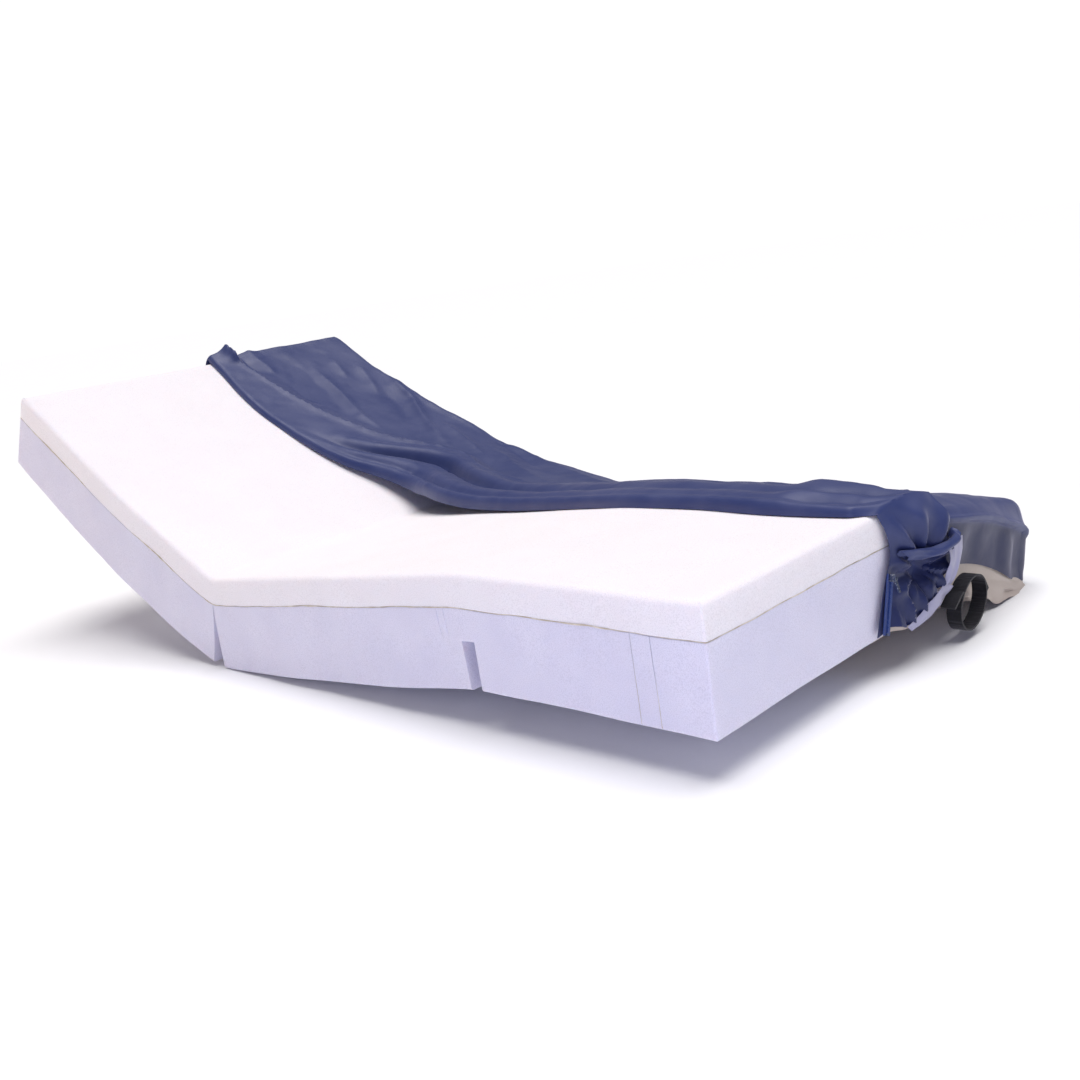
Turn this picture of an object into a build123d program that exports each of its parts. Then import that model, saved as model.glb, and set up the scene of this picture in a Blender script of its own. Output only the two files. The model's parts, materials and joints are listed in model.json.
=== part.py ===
from build123d import *

import os
from math import cos, exp, pi, radians, sin, tan

# Foam core: section lengths along the joint between its two layers, width and layer thicknesses.
BACK_LENGTH = 802.0
THIGH_LENGTH = 732.0
LEG_LENGTH = 446.0
WIDTH = 880.0
TOP_LAYER = 54.0
BASE_LAYER = 126.0
GLUE = 1.2
GLUE_CLEARANCE = 0.2

# How the core is bent: slopes in degrees, rising towards the head on the back, towards the foot elsewhere.
BACK_SLOPE = 24.3
BACK_CURL = 8.0
THIGH_SLOPE = 5.1
LEG_SLOPE = -0.6
BACK_BULGE = 12.0

# The far half of the thigh and leg sections sinks under the pull of the gathered cover.
TOP_DROOP = 92.0
UNDERSIDE_DROOP = 58.0
DROOP_RUN = 230.0
DROOP_POWER = 1.4

# Cuts that let the core bend. Each section ends a little short of the joint it shares.
HIP_FULL_BEND = 65.0
HIP_CLEARANCE = 0.3
KNEE_FLAT_CUT = 2.8
KNEE_FAR_CUT = 14.0
NOTCH_WIDTH = 32.0
NOTCH_CEILING = -50.0
NOTCH_SLOPE = 2.0

# The foot end of the base layer: a strip and an end block glued on.
FOOT_STRIP_START = 1056.0
FOOT_STRIP_END = 1090.0

# Cover: cloth pieces stand this thick in the model and clear the foam by a hair.
CLOTH = 4.0
BASE_CLOTH = 1.5
BASE_CLOTH_NEAR = -60.0
CLEARANCE = 0.3
ROLL_WIDTH = 72.0
ROLL_HEIGHT = 26.0
ROLL_ROUTE = ((-802, 32), (-540, 14), (-253, 30), (0, 40), (200, 8), (400, -24), (732, -54), (1178, -40))
GATHER_THICKNESS = 12.0
GATHER_NEAR = -42.0
GATHER_FAR = 160.0
OVERHANG = 34.0
OVERHANG_DROP = 50.0
BORDER_HEIGHT = 88.0
BORDER_SETBACK = 18.0
BASE_FLAP_HEIGHT = 31.0
BAND_WIDTHS = (40.0, 80.0, 122.0)
BAND_LEVELS = (-66.0, -20.0, 8.0)

# Zip: the straight stretch beside the foot end, given as across and level on the end face.
ZIP_TOP = (-14.0, -38.0)
ZIP_BOTTOM = (-44.0, -122.0)
TAPE_WIDTH = 9.0
TAPE_THICKNESS = 1.2
CHAIN_WIDTH = 5.0
CHAIN_THICKNESS = 2.4
TOOTH_PITCH = 3.0

# Zip slider and pull tab.
SLIDER_LENGTH = 11.0
SLIDER_WIDTH = 10.0
SLIDER_WALL = 1.4
RUNNING_GAP = 0.3
LUG_THICKNESS = 1.2
LUG_HEIGHT = 5.0
PIN_RADIUS = 0.8
PIN_CLEARANCE = 0.05
TAB_LENGTH = 24.0
TAB_WIDTH = 5.6
TAB_THICKNESS = 2.4
TAB_EYE_RADIUS = 1.6
TAB_SWING = 25.0

# Carrying handle of flat webbing, hanging from the base fabric at the foot end.
HANDLE_SPAN = 100.0
HANDLE_DEPTH = 74.0
HANDLE_TILT = 28.0
HANDLE_ACROSS = 168.0
HANDLE_LEVEL = -118.0
WEBBING_WIDTH = 24.0
WEBBING_THICKNESS = 3.0

HALF = WIDTH / 2
KNEE = THIGH_LENGTH
FOOT = THIGH_LENGTH + LEG_LENGTH
HANDLE_STATION = FOOT + 24.0
CORE_WIDTHS = (-HALF, BASE_CLOTH_NEAR - 2.0, 0.0, 150.0, 300.0, HALF)
FAR_WIDTHS = (150.0, 300.0, HALF, HALF + CLEARANCE + CLOTH)


def joint_line(section, station):
    """Point on the line between the foam layers, as x and z, and the angle of its normal from vertical."""
    if section == "back":
        curl = radians(BACK_CURL) / BACK_LENGTH
        low, high = radians(BACK_SLOPE), radians(BACK_SLOPE) - curl * station
        return (sin(low) - sin(high)) / curl, (cos(low) - cos(high)) / curl, high
    thigh = radians(THIGH_SLOPE)
    if section == "thigh":
        return station * cos(thigh), station * sin(thigh), -thigh
    leg, run = radians(LEG_SLOPE), station - KNEE
    return KNEE * cos(thigh) + run * cos(leg), KNEE * sin(thigh) + run * sin(leg), -leg


def sink_along(station):
    """Share of the top's droop reached at a station: it builds up over the thigh and is nearly level on the leg."""
    at_knee, at_foot = (1 - exp(-end / DROOP_RUN) for end in (KNEE, FOOT))
    if station > KNEE:
        return at_knee + (at_foot - at_knee) * (station - KNEE) / LEG_LENGTH
    return 1 - exp(-max(station, 0.0) / DROOP_RUN)


def sink_across(across):
    """Share of the droop reached across the far half, in straight facets between the core's widths."""
    for y0, y1 in zip(CORE_WIDTHS[1:], CORE_WIDTHS[2:]):
        if across <= y1:
            low, high = ((max(y, 0.0) / HALF) ** DROOP_POWER for y in (y0, y1))
            return low + (high - low) * max(across - y0, 0.0) / (y1 - y0)
    return 1.0


def droop(station, across, level):
    """How far the far half sinks. The underside sinks evenly and stays above the surface that it rests on."""
    share = (level + BASE_LAYER) / (TOP_LAYER + BASE_LAYER)
    top = TOP_DROOP * sink_along(station)
    underside = UNDERSIDE_DROOP * min(max(station / KNEE, 0.0), 1.0)
    return (underside + (top - underside) * share) * sink_across(across)


def point(section, station, across, level):
    """Model point from the station along the core, the distance across and the level above the layer joint."""
    x, z, tilt = joint_line(section, station)
    if section == "back" and level < 0:
        level *= 1 + BACK_BULGE / BASE_LAYER * sin(pi * min(max(-station / BACK_LENGTH, 0.0), 1.0))
    return Vector(x + level * sin(tilt), across, z + level * cos(tilt) - droop(station, across, level))


def value(entry, station):
    """A number, or what a function of the station gives."""
    return entry(station) if callable(entry) else entry


def panels(corners):
    """One flat face for four corners that lie in a plane, otherwise two triangles."""
    a, b, c, d = corners
    if abs((b - a).cross(c - a).dot(d - a)) < 1e-6:
        return [Face(Wire.make_polygon(corners))]
    return [Face(Wire.make_polygon((a, b, c))), Face(Wire.make_polygon((a, c, d)))]


def block(section, start, end, widths, levels, cuts):
    """Closed solid between two ends. start and end are functions of across and level, widths and levels
    are numbers or functions of the station, and cuts is the number of steps along the core."""
    def corner(i, j, k):
        nominal = start(0, 0) + (end(0, 0) - start(0, 0)) * i / cuts
        across, level = value(widths[j], nominal), value(levels[k], nominal)
        station = start(across, level) if i == 0 else end(across, level) if i == cuts else nominal
        return point(section, station, across, level)

    n, m, p = cuts, len(widths) - 1, len(levels) - 1
    faces = []
    for k in (0, p):
        for i in range(n):
            for j in range(m):
                faces += panels([corner(i, j, k), corner(i + 1, j, k), corner(i + 1, j + 1, k), corner(i, j + 1, k)])
    for j in (0, m):
        for i in range(n):
            for k in range(p):
                faces += panels([corner(i, j, k), corner(i + 1, j, k), corner(i + 1, j, k + 1), corner(i, j, k + 1)])
    for i in (0, n):
        for j in range(m):
            for k in range(p):
                faces += panels([corner(i, j, k), corner(i, j + 1, k), corner(i, j + 1, k + 1), corner(i, j, k + 1)])
    solid = Solid(Shell(faces))
    return solid if solid.volume > 0 else Solid(solid.wrapped.Reversed())


def at(station):
    """An end square to the core."""
    return lambda across, level: station


def hip_side(sign):
    """The hip end of a section: square below the layer joint, cut back in a V above it."""
    return lambda across, level: sign * (HIP_CLEARANCE + max(level, 0.0) * tan(radians(HIP_FULL_BEND / 2)))


def knee_side(sign):
    """The knee end of a section: the notch below, a narrow gap above, both wider where the core droops."""
    def end(across, level):
        inset = NOTCH_WIDTH / 2 if level <= NOTCH_CEILING else KNEE_FLAT_CUT
        return KNEE + sign * (inset + KNEE_FAR_CUT * sink_across(across))
    return end


def roll_line(station):
    """Where the near edge of the cover lies across the core."""
    for (s0, y0), (s1, y1) in zip(ROLL_ROUTE, ROLL_ROUTE[1:]):
        if station <= s1:
            return y0 + (y1 - y0) * (station - s0) / (s1 - s0)
    return ROLL_ROUTE[-1][1]


def inner_line(station):
    """The crease of the core's middle, or just inside the cover's edge where that lies beyond it."""
    return max(0.0, roll_line(station) + 1.0)


SECTIONS = {
    "back": (at(-BACK_LENGTH), hip_side(-1), 6),
    "thigh": (hip_side(1), knee_side(-1), 6),
    "leg": (knee_side(1), at(FOOT), 4),
}
GLUE_LEVEL = GLUE / 2
FOAM_LEVEL = GLUE / 2 + GLUE_CLEARANCE
BASE_LEVELS = (-BASE_LAYER, NOTCH_CEILING, NOTCH_CEILING + NOTCH_SLOPE, -FOAM_LEVEL)


def foam_core():
    """Top layer, base layer and the glue between them in each section, with the foot strip and end block."""
    nodes = {}
    for name, (start, end, cuts) in SECTIONS.items():
        nodes[name + "_top_foam"] = block(name, start, end, CORE_WIDTHS, (FOAM_LEVEL, TOP_LAYER), cuts)
        nodes[name + "_layer_glue"] = block(name, start, end, CORE_WIDTHS, (-GLUE_LEVEL, GLUE_LEVEL), cuts)
    for name in ("back", "thigh"):
        start, end, cuts = SECTIONS[name]
        nodes[name + "_base_foam"] = block(name, start, end, CORE_WIDTHS, BASE_LEVELS, cuts)
    strip, block_start = FOOT_STRIP_START, FOOT_STRIP_END
    gap = GLUE / 2 + GLUE_CLEARANCE
    nodes["leg_base_foam"] = block("leg", knee_side(1), at(strip - gap), CORE_WIDTHS, BASE_LEVELS, 3)
    full = (-BASE_LAYER, -FOAM_LEVEL)
    nodes["foot_filler_strip"] = block("leg", at(strip + gap), at(block_start - gap), CORE_WIDTHS, full, 1)
    nodes["foot_end_block"] = block("leg", at(block_start + gap), at(FOOT), CORE_WIDTHS, full, 1)
    for name, station in (("strip_glue_seam", strip), ("end_block_glue_seam", block_start)):
        seam = (at(station - GLUE / 2), at(station + GLUE / 2))
        nodes[name] = block("leg", *seam, CORE_WIDTHS, full, 1)
    return nodes


def cover_sections():
    """Cloth over the far half: top panel, folded edge roll, side wall and base panel of each section."""
    nodes = {}
    top = (TOP_LAYER + CLEARANCE, TOP_LAYER + CLEARANCE + CLOTH)
    roll = (top[1] + CLEARANCE, top[1] + CLEARANCE + ROLL_HEIGHT)
    under = (-BASE_LAYER - CLEARANCE - BASE_CLOTH, -BASE_LAYER - CLEARANCE)
    wall = (-BASE_LAYER, 0.0, TOP_LAYER)
    side = (HALF + CLEARANCE, HALF + CLEARANCE + CLOTH)
    for name, (start, end, cuts) in SECTIONS.items():
        panel = (roll_line, inner_line, *FAR_WIDTHS)
        nodes["cover_" + name + "_top_panel"] = block(name, start, end, panel, top, cuts)
        fold = (roll_line, inner_line, lambda station: roll_line(station) + ROLL_WIDTH)
        nodes["cover_" + name + "_edge_roll"] = block(name, start, end, fold, roll, cuts)
        nodes["cover_" + name + "_side_wall"] = block(name, start, end, side, wall, cuts)
        nodes["cover_" + name + "_base_panel"] = block(
            name, start, end, (BASE_CLOTH_NEAR, 0.0, *FAR_WIDTHS), under, cuts)
    return nodes


def cover_ends():
    """Cloth at the head end, and the gathered, overhanging cloth at the foot end."""
    head = -BACK_LENGTH - CLEARANCE
    far = HALF + CLEARANCE + CLOTH
    top = TOP_LAYER + CLEARANCE + CLOTH
    nodes = {
        "cover_head_end_wall": block(
            "back", at(head - CLOTH), at(head), (30.0, 150.0, 300.0, far), (-BASE_LAYER, 0.0, top), 1),
        "cover_head_fold": block(
            "back", at(head - CLOTH - 14), at(head - CLOTH - CLEARANCE), (18.0, 96.0), (-30.0, 0.0, 78.0), 1),
    }
    wall = FOOT + CLEARANCE
    gathered = wall + GATHER_THICKNESS
    nodes["cover_foot_gathered_wall"] = block(
        "leg", at(wall), at(gathered), (GATHER_NEAR, 0.0, GATHER_FAR), (-BASE_LAYER, 0.0, top), 1)
    nodes["cover_foot_pinch_band"] = block(
        "leg", at(gathered + CLEARANCE), at(gathered + 26), BAND_WIDTHS, BAND_LEVELS, 1)
    lip = wall + OVERHANG

    def sloping(level):
        return lambda station: level - OVERHANG_DROP * (station - wall) / OVERHANG

    overhang = (GATHER_FAR + 50, 300.0, far)
    nodes["cover_foot_overhang"] = block(
        "leg", at(wall), at(lip), overhang, (sloping(top - CLOTH), sloping(top)), 3)
    welt = top - CLOTH - OVERHANG_DROP
    nodes["cover_foot_welt"] = block(
        "leg", at(lip + CLEARANCE), at(lip + 10), overhang, (welt - 8, welt + 3), 1)
    border = welt - CLEARANCE - 8
    hang = lip - BORDER_SETBACK
    nodes["cover_foot_border"] = block(
        "leg", at(hang - CLOTH), at(hang), overhang, (border - BORDER_HEIGHT, border), 1)
    flap = border - BORDER_HEIGHT - CLEARANCE
    nodes["cover_foot_base_flap"] = block(
        "leg", at(hang - CLOTH - 6), at(hang - 6), overhang, (flap - BASE_FLAP_HEIGHT, flap), 1)
    return nodes


def placed(shape, section, station, across, level, spin):
    """Moves a shape made along +Z with its front facing +X onto the foot end, turned by spin in the end face."""
    spot = point(section, station, across, level)
    return Pos(spot.X, spot.Y, spot.Z) * Rot(0, -LEG_SLOPE, 0) * Rot(spin, 0, 0) * shape


def zip_parts():
    """Two tapes, two rows of teeth and an end stop on the cover, with the slider, its pin and the pull tab."""
    face = FOOT + CLEARANCE + GATHER_THICKNESS + CLEARANCE
    run = Vector(0, ZIP_TOP[0] - ZIP_BOTTOM[0], ZIP_TOP[1] - ZIP_BOTTOM[1])
    length = run.length
    spin = -Vector(0, 0, 1).get_signed_angle(run, Vector(-1, 0, 0))

    def on_cover(shape):
        return placed(shape, "leg", face, *ZIP_BOTTOM, spin)

    def bar(x0, x1, y0, y1, z0, z1):
        return Pos((x0 + x1) / 2, (y0 + y1) / 2, (z0 + z1) / 2) * Box(x1 - x0, abs(y1 - y0), z1 - z0)

    chain_x = TAPE_THICKNESS + 0.1
    tapes = [bar(0, TAPE_THICKNESS, side * 0.2, side * (TAPE_WIDTH + 0.2), 0, length) for side in (-1, 1)]
    teeth = []
    for side, shift in ((-1, 0.0), (1, TOOTH_PITCH / 2)):
        row = [
            bar(chain_x, chain_x + CHAIN_THICKNESS, side * 0.1, side * CHAIN_WIDTH / 2,
                4 + shift + i * TOOTH_PITCH, 4 + shift + i * TOOTH_PITCH + 1.3)
            for i in range(int((length - 10) / TOOTH_PITCH))
        ]
        teeth.append(Compound(row))
    stop = bar(chain_x, chain_x + CHAIN_THICKNESS, -CHAIN_WIDTH / 2, CHAIN_WIDTH / 2, 0.4, 3.4)

    inner = CHAIN_WIDTH / 2 + RUNNING_GAP
    front = chain_x + CHAIN_THICKNESS + RUNNING_GAP
    low, high = length - SLIDER_LENGTH, length
    body = bar(front, front + SLIDER_WALL, -SLIDER_WIDTH / 2, SLIDER_WIDTH / 2, low, high)
    for side in (-1, 1):
        body += bar(chain_x, front, side * inner, side * SLIDER_WIDTH / 2, low, high)
        lug = bar(front + SLIDER_WALL, front + SLIDER_WALL + LUG_HEIGHT, side * (TAB_WIDTH / 2 + 0.2),
                  side * (TAB_WIDTH / 2 + 0.2 + LUG_THICKNESS), low + 3, low + 8)
        body += lug
    pivot = Vector(front + SLIDER_WALL + LUG_HEIGHT - 2.2, 0, low + 5.5)
    pin_length = TAB_WIDTH + 2 * (0.2 + LUG_THICKNESS)
    pin = Pos(pivot) * Rot(90, 0, 0) * Cylinder(PIN_RADIUS, pin_length)
    body -= pin

    tab = Pos(0, 0, -TAB_LENGTH / 2 + 2) * Box(TAB_THICKNESS, TAB_WIDTH, TAB_LENGTH)
    tab = fillet(tab.edges().filter_by(Axis.X), TAB_WIDTH / 2 - 0.4)
    tab -= Rot(90, 0, 0) * Cylinder(PIN_RADIUS + PIN_CLEARANCE, TAB_WIDTH + 2)
    tab -= Pos(0, 0, 2 - TAB_LENGTH + TAB_WIDTH / 2 + 0.6) * Rot(0, 90, 0) * Cylinder(TAB_EYE_RADIUS, 10)
    tab = Pos(pivot) * Rot(0, -TAB_SWING, 0) * tab

    nodes = {
        "zip_near_tape": on_cover(tapes[0]),
        "zip_far_tape": on_cover(tapes[1]),
        "zip_near_teeth": Compound([on_cover(tooth) for tooth in teeth[0]]),
        "zip_far_teeth": Compound([on_cover(tooth) for tooth in teeth[1]]),
        "zip_end_stop": on_cover(stop),
        "zip_slider_body": on_cover(body),
        "zip_pull_pin": on_cover(pin),
        "zip_pull_tab": on_cover(tab),
    }
    hinge = on_cover(Pos(pivot) * Box(0.01, 0.01, 0.01)).center()
    base = on_cover(Box(0.01, 0.01, 0.01)).center()
    along = (on_cover(Pos(0, 0, 1) * Box(0.01, 0.01, 0.01)).center() - base).normalized()
    sideways = (on_cover(Pos(0, 1, 0) * Box(0.01, 0.01, 0.01)).center() - base).normalized()
    return nodes, {"pull_hinge": hinge, "zip_along": along, "zip_sideways": sideways}


def handle_centre():
    """Middle of the space inside the handle."""
    return point("leg", HANDLE_STATION + WEBBING_WIDTH / 2, HANDLE_ACROSS, HANDLE_LEVEL)


def handle_parts():
    """Flat webbing bent into a hanging loop, with its knotted tail and the patch that sews it on."""
    loop = Rot(0, 90, 0) * extrude(
        Ellipse(HANDLE_DEPTH / 2, HANDLE_SPAN / 2)
        - Ellipse(HANDLE_DEPTH / 2 - WEBBING_THICKNESS, HANDLE_SPAN / 2 - WEBBING_THICKNESS),
        WEBBING_WIDTH)
    tail = Pos(WEBBING_WIDTH / 2, HANDLE_SPAN / 2 - 1, -12) * Box(WEBBING_WIDTH - 4, 9, 20)
    tail -= Rot(0, 90, 0) * extrude(Ellipse(HANDLE_DEPTH / 2 + 0.3, HANDLE_SPAN / 2 + 0.3), WEBBING_WIDTH)
    patch = Pos(WEBBING_WIDTH / 2, -HANDLE_SPAN / 2 + 16, HANDLE_DEPTH / 2 + 1) * Box(WEBBING_WIDTH, 36, 4)
    patch -= Rot(0, 90, 0) * extrude(Ellipse(HANDLE_DEPTH / 2 + 0.3, HANDLE_SPAN / 2 + 0.3), WEBBING_WIDTH)
    shapes = {"handle_webbing_loop": loop, "handle_knotted_tail": tail, "handle_sewn_patch": patch}
    spot = (HANDLE_STATION, HANDLE_ACROSS, HANDLE_LEVEL)
    return {name: placed(shape, "leg", *spot, HANDLE_TILT) for name, shape in shapes.items()}


def main():
    """Builds every node, sets the origin under the middle of the whole mattress and writes the files."""
    nodes = {**foam_core(), **cover_sections(), **cover_ends()}
    zip_nodes, zip_axes = zip_parts()
    nodes.update(zip_nodes)
    nodes.update(handle_parts())
    boxes = [shape.bounding_box() for shape in nodes.values()]
    low = Vector(*(min(tuple(box.min)[i] for box in boxes) for i in range(3)))
    high = Vector(*(max(tuple(box.max)[i] for box in boxes) for i in range(3)))
    origin = Vector((low.X + high.X) / 2, (low.Y + high.Y) / 2, low.Z)
    os.makedirs("parts", exist_ok=True)
    for name, shape in nodes.items():
        export_step(Pos(-origin.X, -origin.Y, -origin.Z) * shape, "parts/" + name + ".step")
    knee_x, knee_z, _ = joint_line("thigh", KNEE)
    tilt = radians(-(THIGH_SLOPE + LEG_SLOPE) / 2)
    knee = Vector(knee_x + NOTCH_CEILING * sin(tilt), 0, knee_z + NOTCH_CEILING * cos(tilt))
    print("size", high - low)
    print("origin", origin)
    print("hip axis", Vector(0, 0, 0) - origin)
    print("knee axis", knee - origin)
    print("thigh rest", point("thigh", THIGH_LENGTH / 2, -WIDTH / 4, -BASE_LAYER) - origin)
    print("leg rest", point("leg", KNEE + 180, -WIDTH / 4, -BASE_LAYER) - origin)
    print("pull hinge", zip_axes["pull_hinge"] - origin)
    print("handle centre", handle_centre() - origin)
    print("zip along", zip_axes["zip_along"], "zip sideways", zip_axes["zip_sideways"])


main()
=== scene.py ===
import json
import math

import bpy
import numpy as np
from mathutils import Matrix, Vector

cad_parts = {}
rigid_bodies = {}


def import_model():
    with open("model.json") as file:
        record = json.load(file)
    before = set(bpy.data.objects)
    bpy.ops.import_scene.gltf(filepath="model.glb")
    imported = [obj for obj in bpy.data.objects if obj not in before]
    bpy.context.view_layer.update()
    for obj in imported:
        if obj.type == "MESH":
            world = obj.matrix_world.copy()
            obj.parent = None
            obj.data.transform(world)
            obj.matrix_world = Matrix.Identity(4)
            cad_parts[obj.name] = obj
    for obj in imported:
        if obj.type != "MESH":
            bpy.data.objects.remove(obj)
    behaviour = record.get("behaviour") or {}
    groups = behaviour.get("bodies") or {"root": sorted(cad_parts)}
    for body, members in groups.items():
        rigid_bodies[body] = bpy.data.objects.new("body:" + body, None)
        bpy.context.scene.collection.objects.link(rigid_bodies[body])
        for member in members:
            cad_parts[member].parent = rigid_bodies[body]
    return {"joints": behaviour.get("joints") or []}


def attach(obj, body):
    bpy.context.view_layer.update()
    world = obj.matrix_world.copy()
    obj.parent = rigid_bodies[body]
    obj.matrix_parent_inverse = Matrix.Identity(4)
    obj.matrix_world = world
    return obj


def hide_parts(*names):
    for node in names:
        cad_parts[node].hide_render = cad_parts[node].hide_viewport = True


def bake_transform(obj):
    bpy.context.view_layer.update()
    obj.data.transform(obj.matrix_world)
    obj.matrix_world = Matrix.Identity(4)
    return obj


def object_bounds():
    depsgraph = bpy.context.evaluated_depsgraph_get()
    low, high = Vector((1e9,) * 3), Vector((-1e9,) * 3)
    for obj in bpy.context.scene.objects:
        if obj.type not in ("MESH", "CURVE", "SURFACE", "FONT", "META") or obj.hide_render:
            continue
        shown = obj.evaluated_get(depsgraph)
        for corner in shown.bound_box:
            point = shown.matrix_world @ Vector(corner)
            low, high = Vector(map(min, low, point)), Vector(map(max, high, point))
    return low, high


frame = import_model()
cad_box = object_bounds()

# ---------------------------------------------------------------- sizes, in metres
BACK, THIGH, LEG = 0.802, 0.732, 0.446
KNEE, FOOT = THIGH, THIGH + LEG
HALF = 0.440
TOP, BASE = 0.054, 0.126
BACK_SLOPE, BACK_CURL, THIGH_SLOPE, LEG_SLOPE = 24.3, 8.0, 5.1, -0.6
BACK_BULGE, THIGH_BULGE = 0.012, 0.008
TOP_DROOP, UNDERSIDE_DROOP, DROOP_RUN, DROOP_POWER = 0.092, 0.058, 0.230, 1.4
HIP_ROUNDING, KNEE_ROUNDING = 0.030, 0.045
MID_THIGH = 0.366

JOINTS = {joint["name"]: joint for joint in frame["joints"]}
HIP = np.array(JOINTS["hip_bend"]["pos_m"])
MIDDLE_Y = HIP[1]


# ---------------------------------------------------------------- the bent core
def smoothstep(t):
    t = np.clip(t, 0.0, 1.0)
    return t * t * (3 - 2 * t)


def slope(s, hip=HIP_ROUNDING, knee=KNEE_ROUNDING):
    """Slope of the core towards the foot at station s, in radians, with the bends rounded."""
    back = -(BACK_SLOPE + BACK_CURL * np.clip(-s, 0, None) / BACK)
    at_hip = smoothstep((s + hip) / (2 * hip))
    at_knee = smoothstep((s - KNEE + knee) / (2 * knee))
    return np.radians(back * (1 - at_hip) + THIGH_SLOPE * at_hip * (1 - at_knee) + LEG_SLOPE * at_knee)


LINE_S = np.linspace(-1.0, 1.5, 2501)
LINE_A = slope(LINE_S)
STEP = LINE_S[1] - LINE_S[0]
LINE_X = np.concatenate([[0], np.cumsum(np.cos((LINE_A[1:] + LINE_A[:-1]) / 2) * STEP)])
LINE_Z = np.concatenate([[0], np.cumsum(np.sin((LINE_A[1:] + LINE_A[:-1]) / 2) * STEP)])
LINE_X -= np.interp(0, LINE_S, LINE_X)
LINE_Z -= np.interp(0, LINE_S, LINE_Z)


def droop(s, y, h):
    """How far the far half sinks under the pull of the gathered cover."""
    share = (h + BASE) / (TOP + BASE)
    along = 1 - np.exp(-np.clip(s, 0, None) / DROOP_RUN)
    under = UNDERSIDE_DROOP * np.clip(s / KNEE, 0, 1)
    across = np.clip(y / HALF, 0, 1.05) ** DROOP_POWER
    return (under + (TOP_DROOP * along - under) * share) * across


def core_point(s, y, h, sag=1.0):
    """World points for arrays of station, distance across and level above the joint between the layers.
    sag is the share of the far half's droop that applies."""
    s, y, h = np.broadcast_arrays(np.asarray(s, float), np.asarray(y, float), np.asarray(h, float))
    x, z, a = np.interp(s, LINE_S, LINE_X), np.interp(s, LINE_S, LINE_Z), np.interp(s, LINE_S, LINE_A)
    below = np.clip(-h / BASE, 0, None)
    bulge = BACK_BULGE * np.sin(math.pi * np.clip(-s / BACK, 0, 1))
    bulge = bulge + THIGH_BULGE * np.sin(math.pi * np.clip(s / KNEE, 0, 1))
    level = h - below * bulge
    points = np.stack([x - level * np.sin(a), y, z + level * np.cos(a) - sag * droop(s, y, h)], axis=-1)
    return points + np.array([HIP[0], MIDDLE_Y, HIP[2]])


# ---------------------------------------------------------------- smooth noise
def value_noise(points, scale, seed):
    """Smooth repeatable noise from -1 to 1 at an array of points, with features of the given size."""
    q = np.asarray(points) / scale
    cell = np.floor(q).astype(np.int64)
    f = q - cell
    f = f * f * f * (f * (f * 6 - 15) + 10)
    total = np.zeros(q.shape[:-1])
    for corner in np.ndindex(*(2,) * q.shape[-1]):
        c = cell + np.array(corner)
        k = np.full(q.shape[:-1], seed * 7919 + 13, dtype=np.int64)
        for axis, prime in zip(range(q.shape[-1]), (73856093, 19349663, 83492791)):
            k = (k ^ (c[..., axis] * prime)) & 0x7FFFFFFF
        k = (k * 1103515245 + 12345) & 0x7FFFFFFF
        k = ((k >> 13) ^ k) * 1274126177 & 0x7FFFFFFF
        weight = np.ones(q.shape[:-1])
        for axis in range(q.shape[-1]):
            weight = weight * (f[..., axis] if corner[axis] else 1 - f[..., axis])
        total += weight * (k / 0x3FFFFFFF - 1)
    return total


# ---------------------------------------------------------------- meshes
def fresh_mesh(name, points, faces, sharp):
    mesh = bpy.data.meshes.new(name)
    mesh.from_pydata(np.asarray(points).tolist(), [], [list(map(int, face)) for face in faces])
    mesh.polygons.foreach_set("use_smooth", [True] * len(mesh.polygons))
    mesh.set_sharp_from_angle(angle=math.radians(sharp))
    mesh.update()
    return mesh


def make_mesh(name, points, faces, material, kept=None, caps=None, sharp=50):
    """A smooth mesh object. kept marks the faces that stay, so that shading runs on over a joined end, and
    caps are faces that close such an end without changing that shading."""
    mesh = fresh_mesh(name, points, faces, sharp)
    if kept is not None:
        whole, corners = mesh, np.zeros(3 * len(mesh.loops))
        whole.corner_normals.foreach_get("vector", corners)
        normals = corners.reshape(-1, len(faces[0]), 3)[kept].reshape(-1, 3)
        faces = [list(face) for face in np.asarray(faces)[kept]]
        for cap in () if caps is None else caps:
            a, b, c = (np.asarray(points)[i] for i in (cap[0], cap[1], cap[2]))
            flat = np.cross(b - a, c - a)
            normals = np.vstack([normals, np.tile(flat / max(np.linalg.norm(flat), 1e-12), (len(cap), 1))])
            faces.append(list(cap))
        used, place = np.unique(np.concatenate(faces), return_inverse=True)
        lengths = np.cumsum([0] + [len(face) for face in faces])
        faces = [place[i:j] for i, j in zip(lengths, lengths[1:])]
        mesh = fresh_mesh(name, np.asarray(points)[used], faces, sharp)
        mesh.normals_split_custom_set(normals.tolist())
        bpy.data.meshes.remove(whole)
    piece = bpy.data.objects.new(name, mesh)
    bpy.context.scene.collection.objects.link(piece)
    mesh.materials.append(material)
    return piece


def steps(low, high, spacing, edge, soft_low=True, soft_high=True):
    """Places from low to high at even spacing, with extra ones close to the rounded ends."""
    near = edge * np.array([0.15, 0.35, 0.6, 1.0])
    places = np.linspace(low, high, max(2, int(round((high - low) / spacing)) + 1))
    if soft_low:
        places = np.concatenate([[low], low + near, places[places > low + 1.4 * edge]])
    if soft_high:
        places = np.concatenate([places[places < high - 1.4 * edge], high - near[::-1], [high]])
    return places


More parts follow.
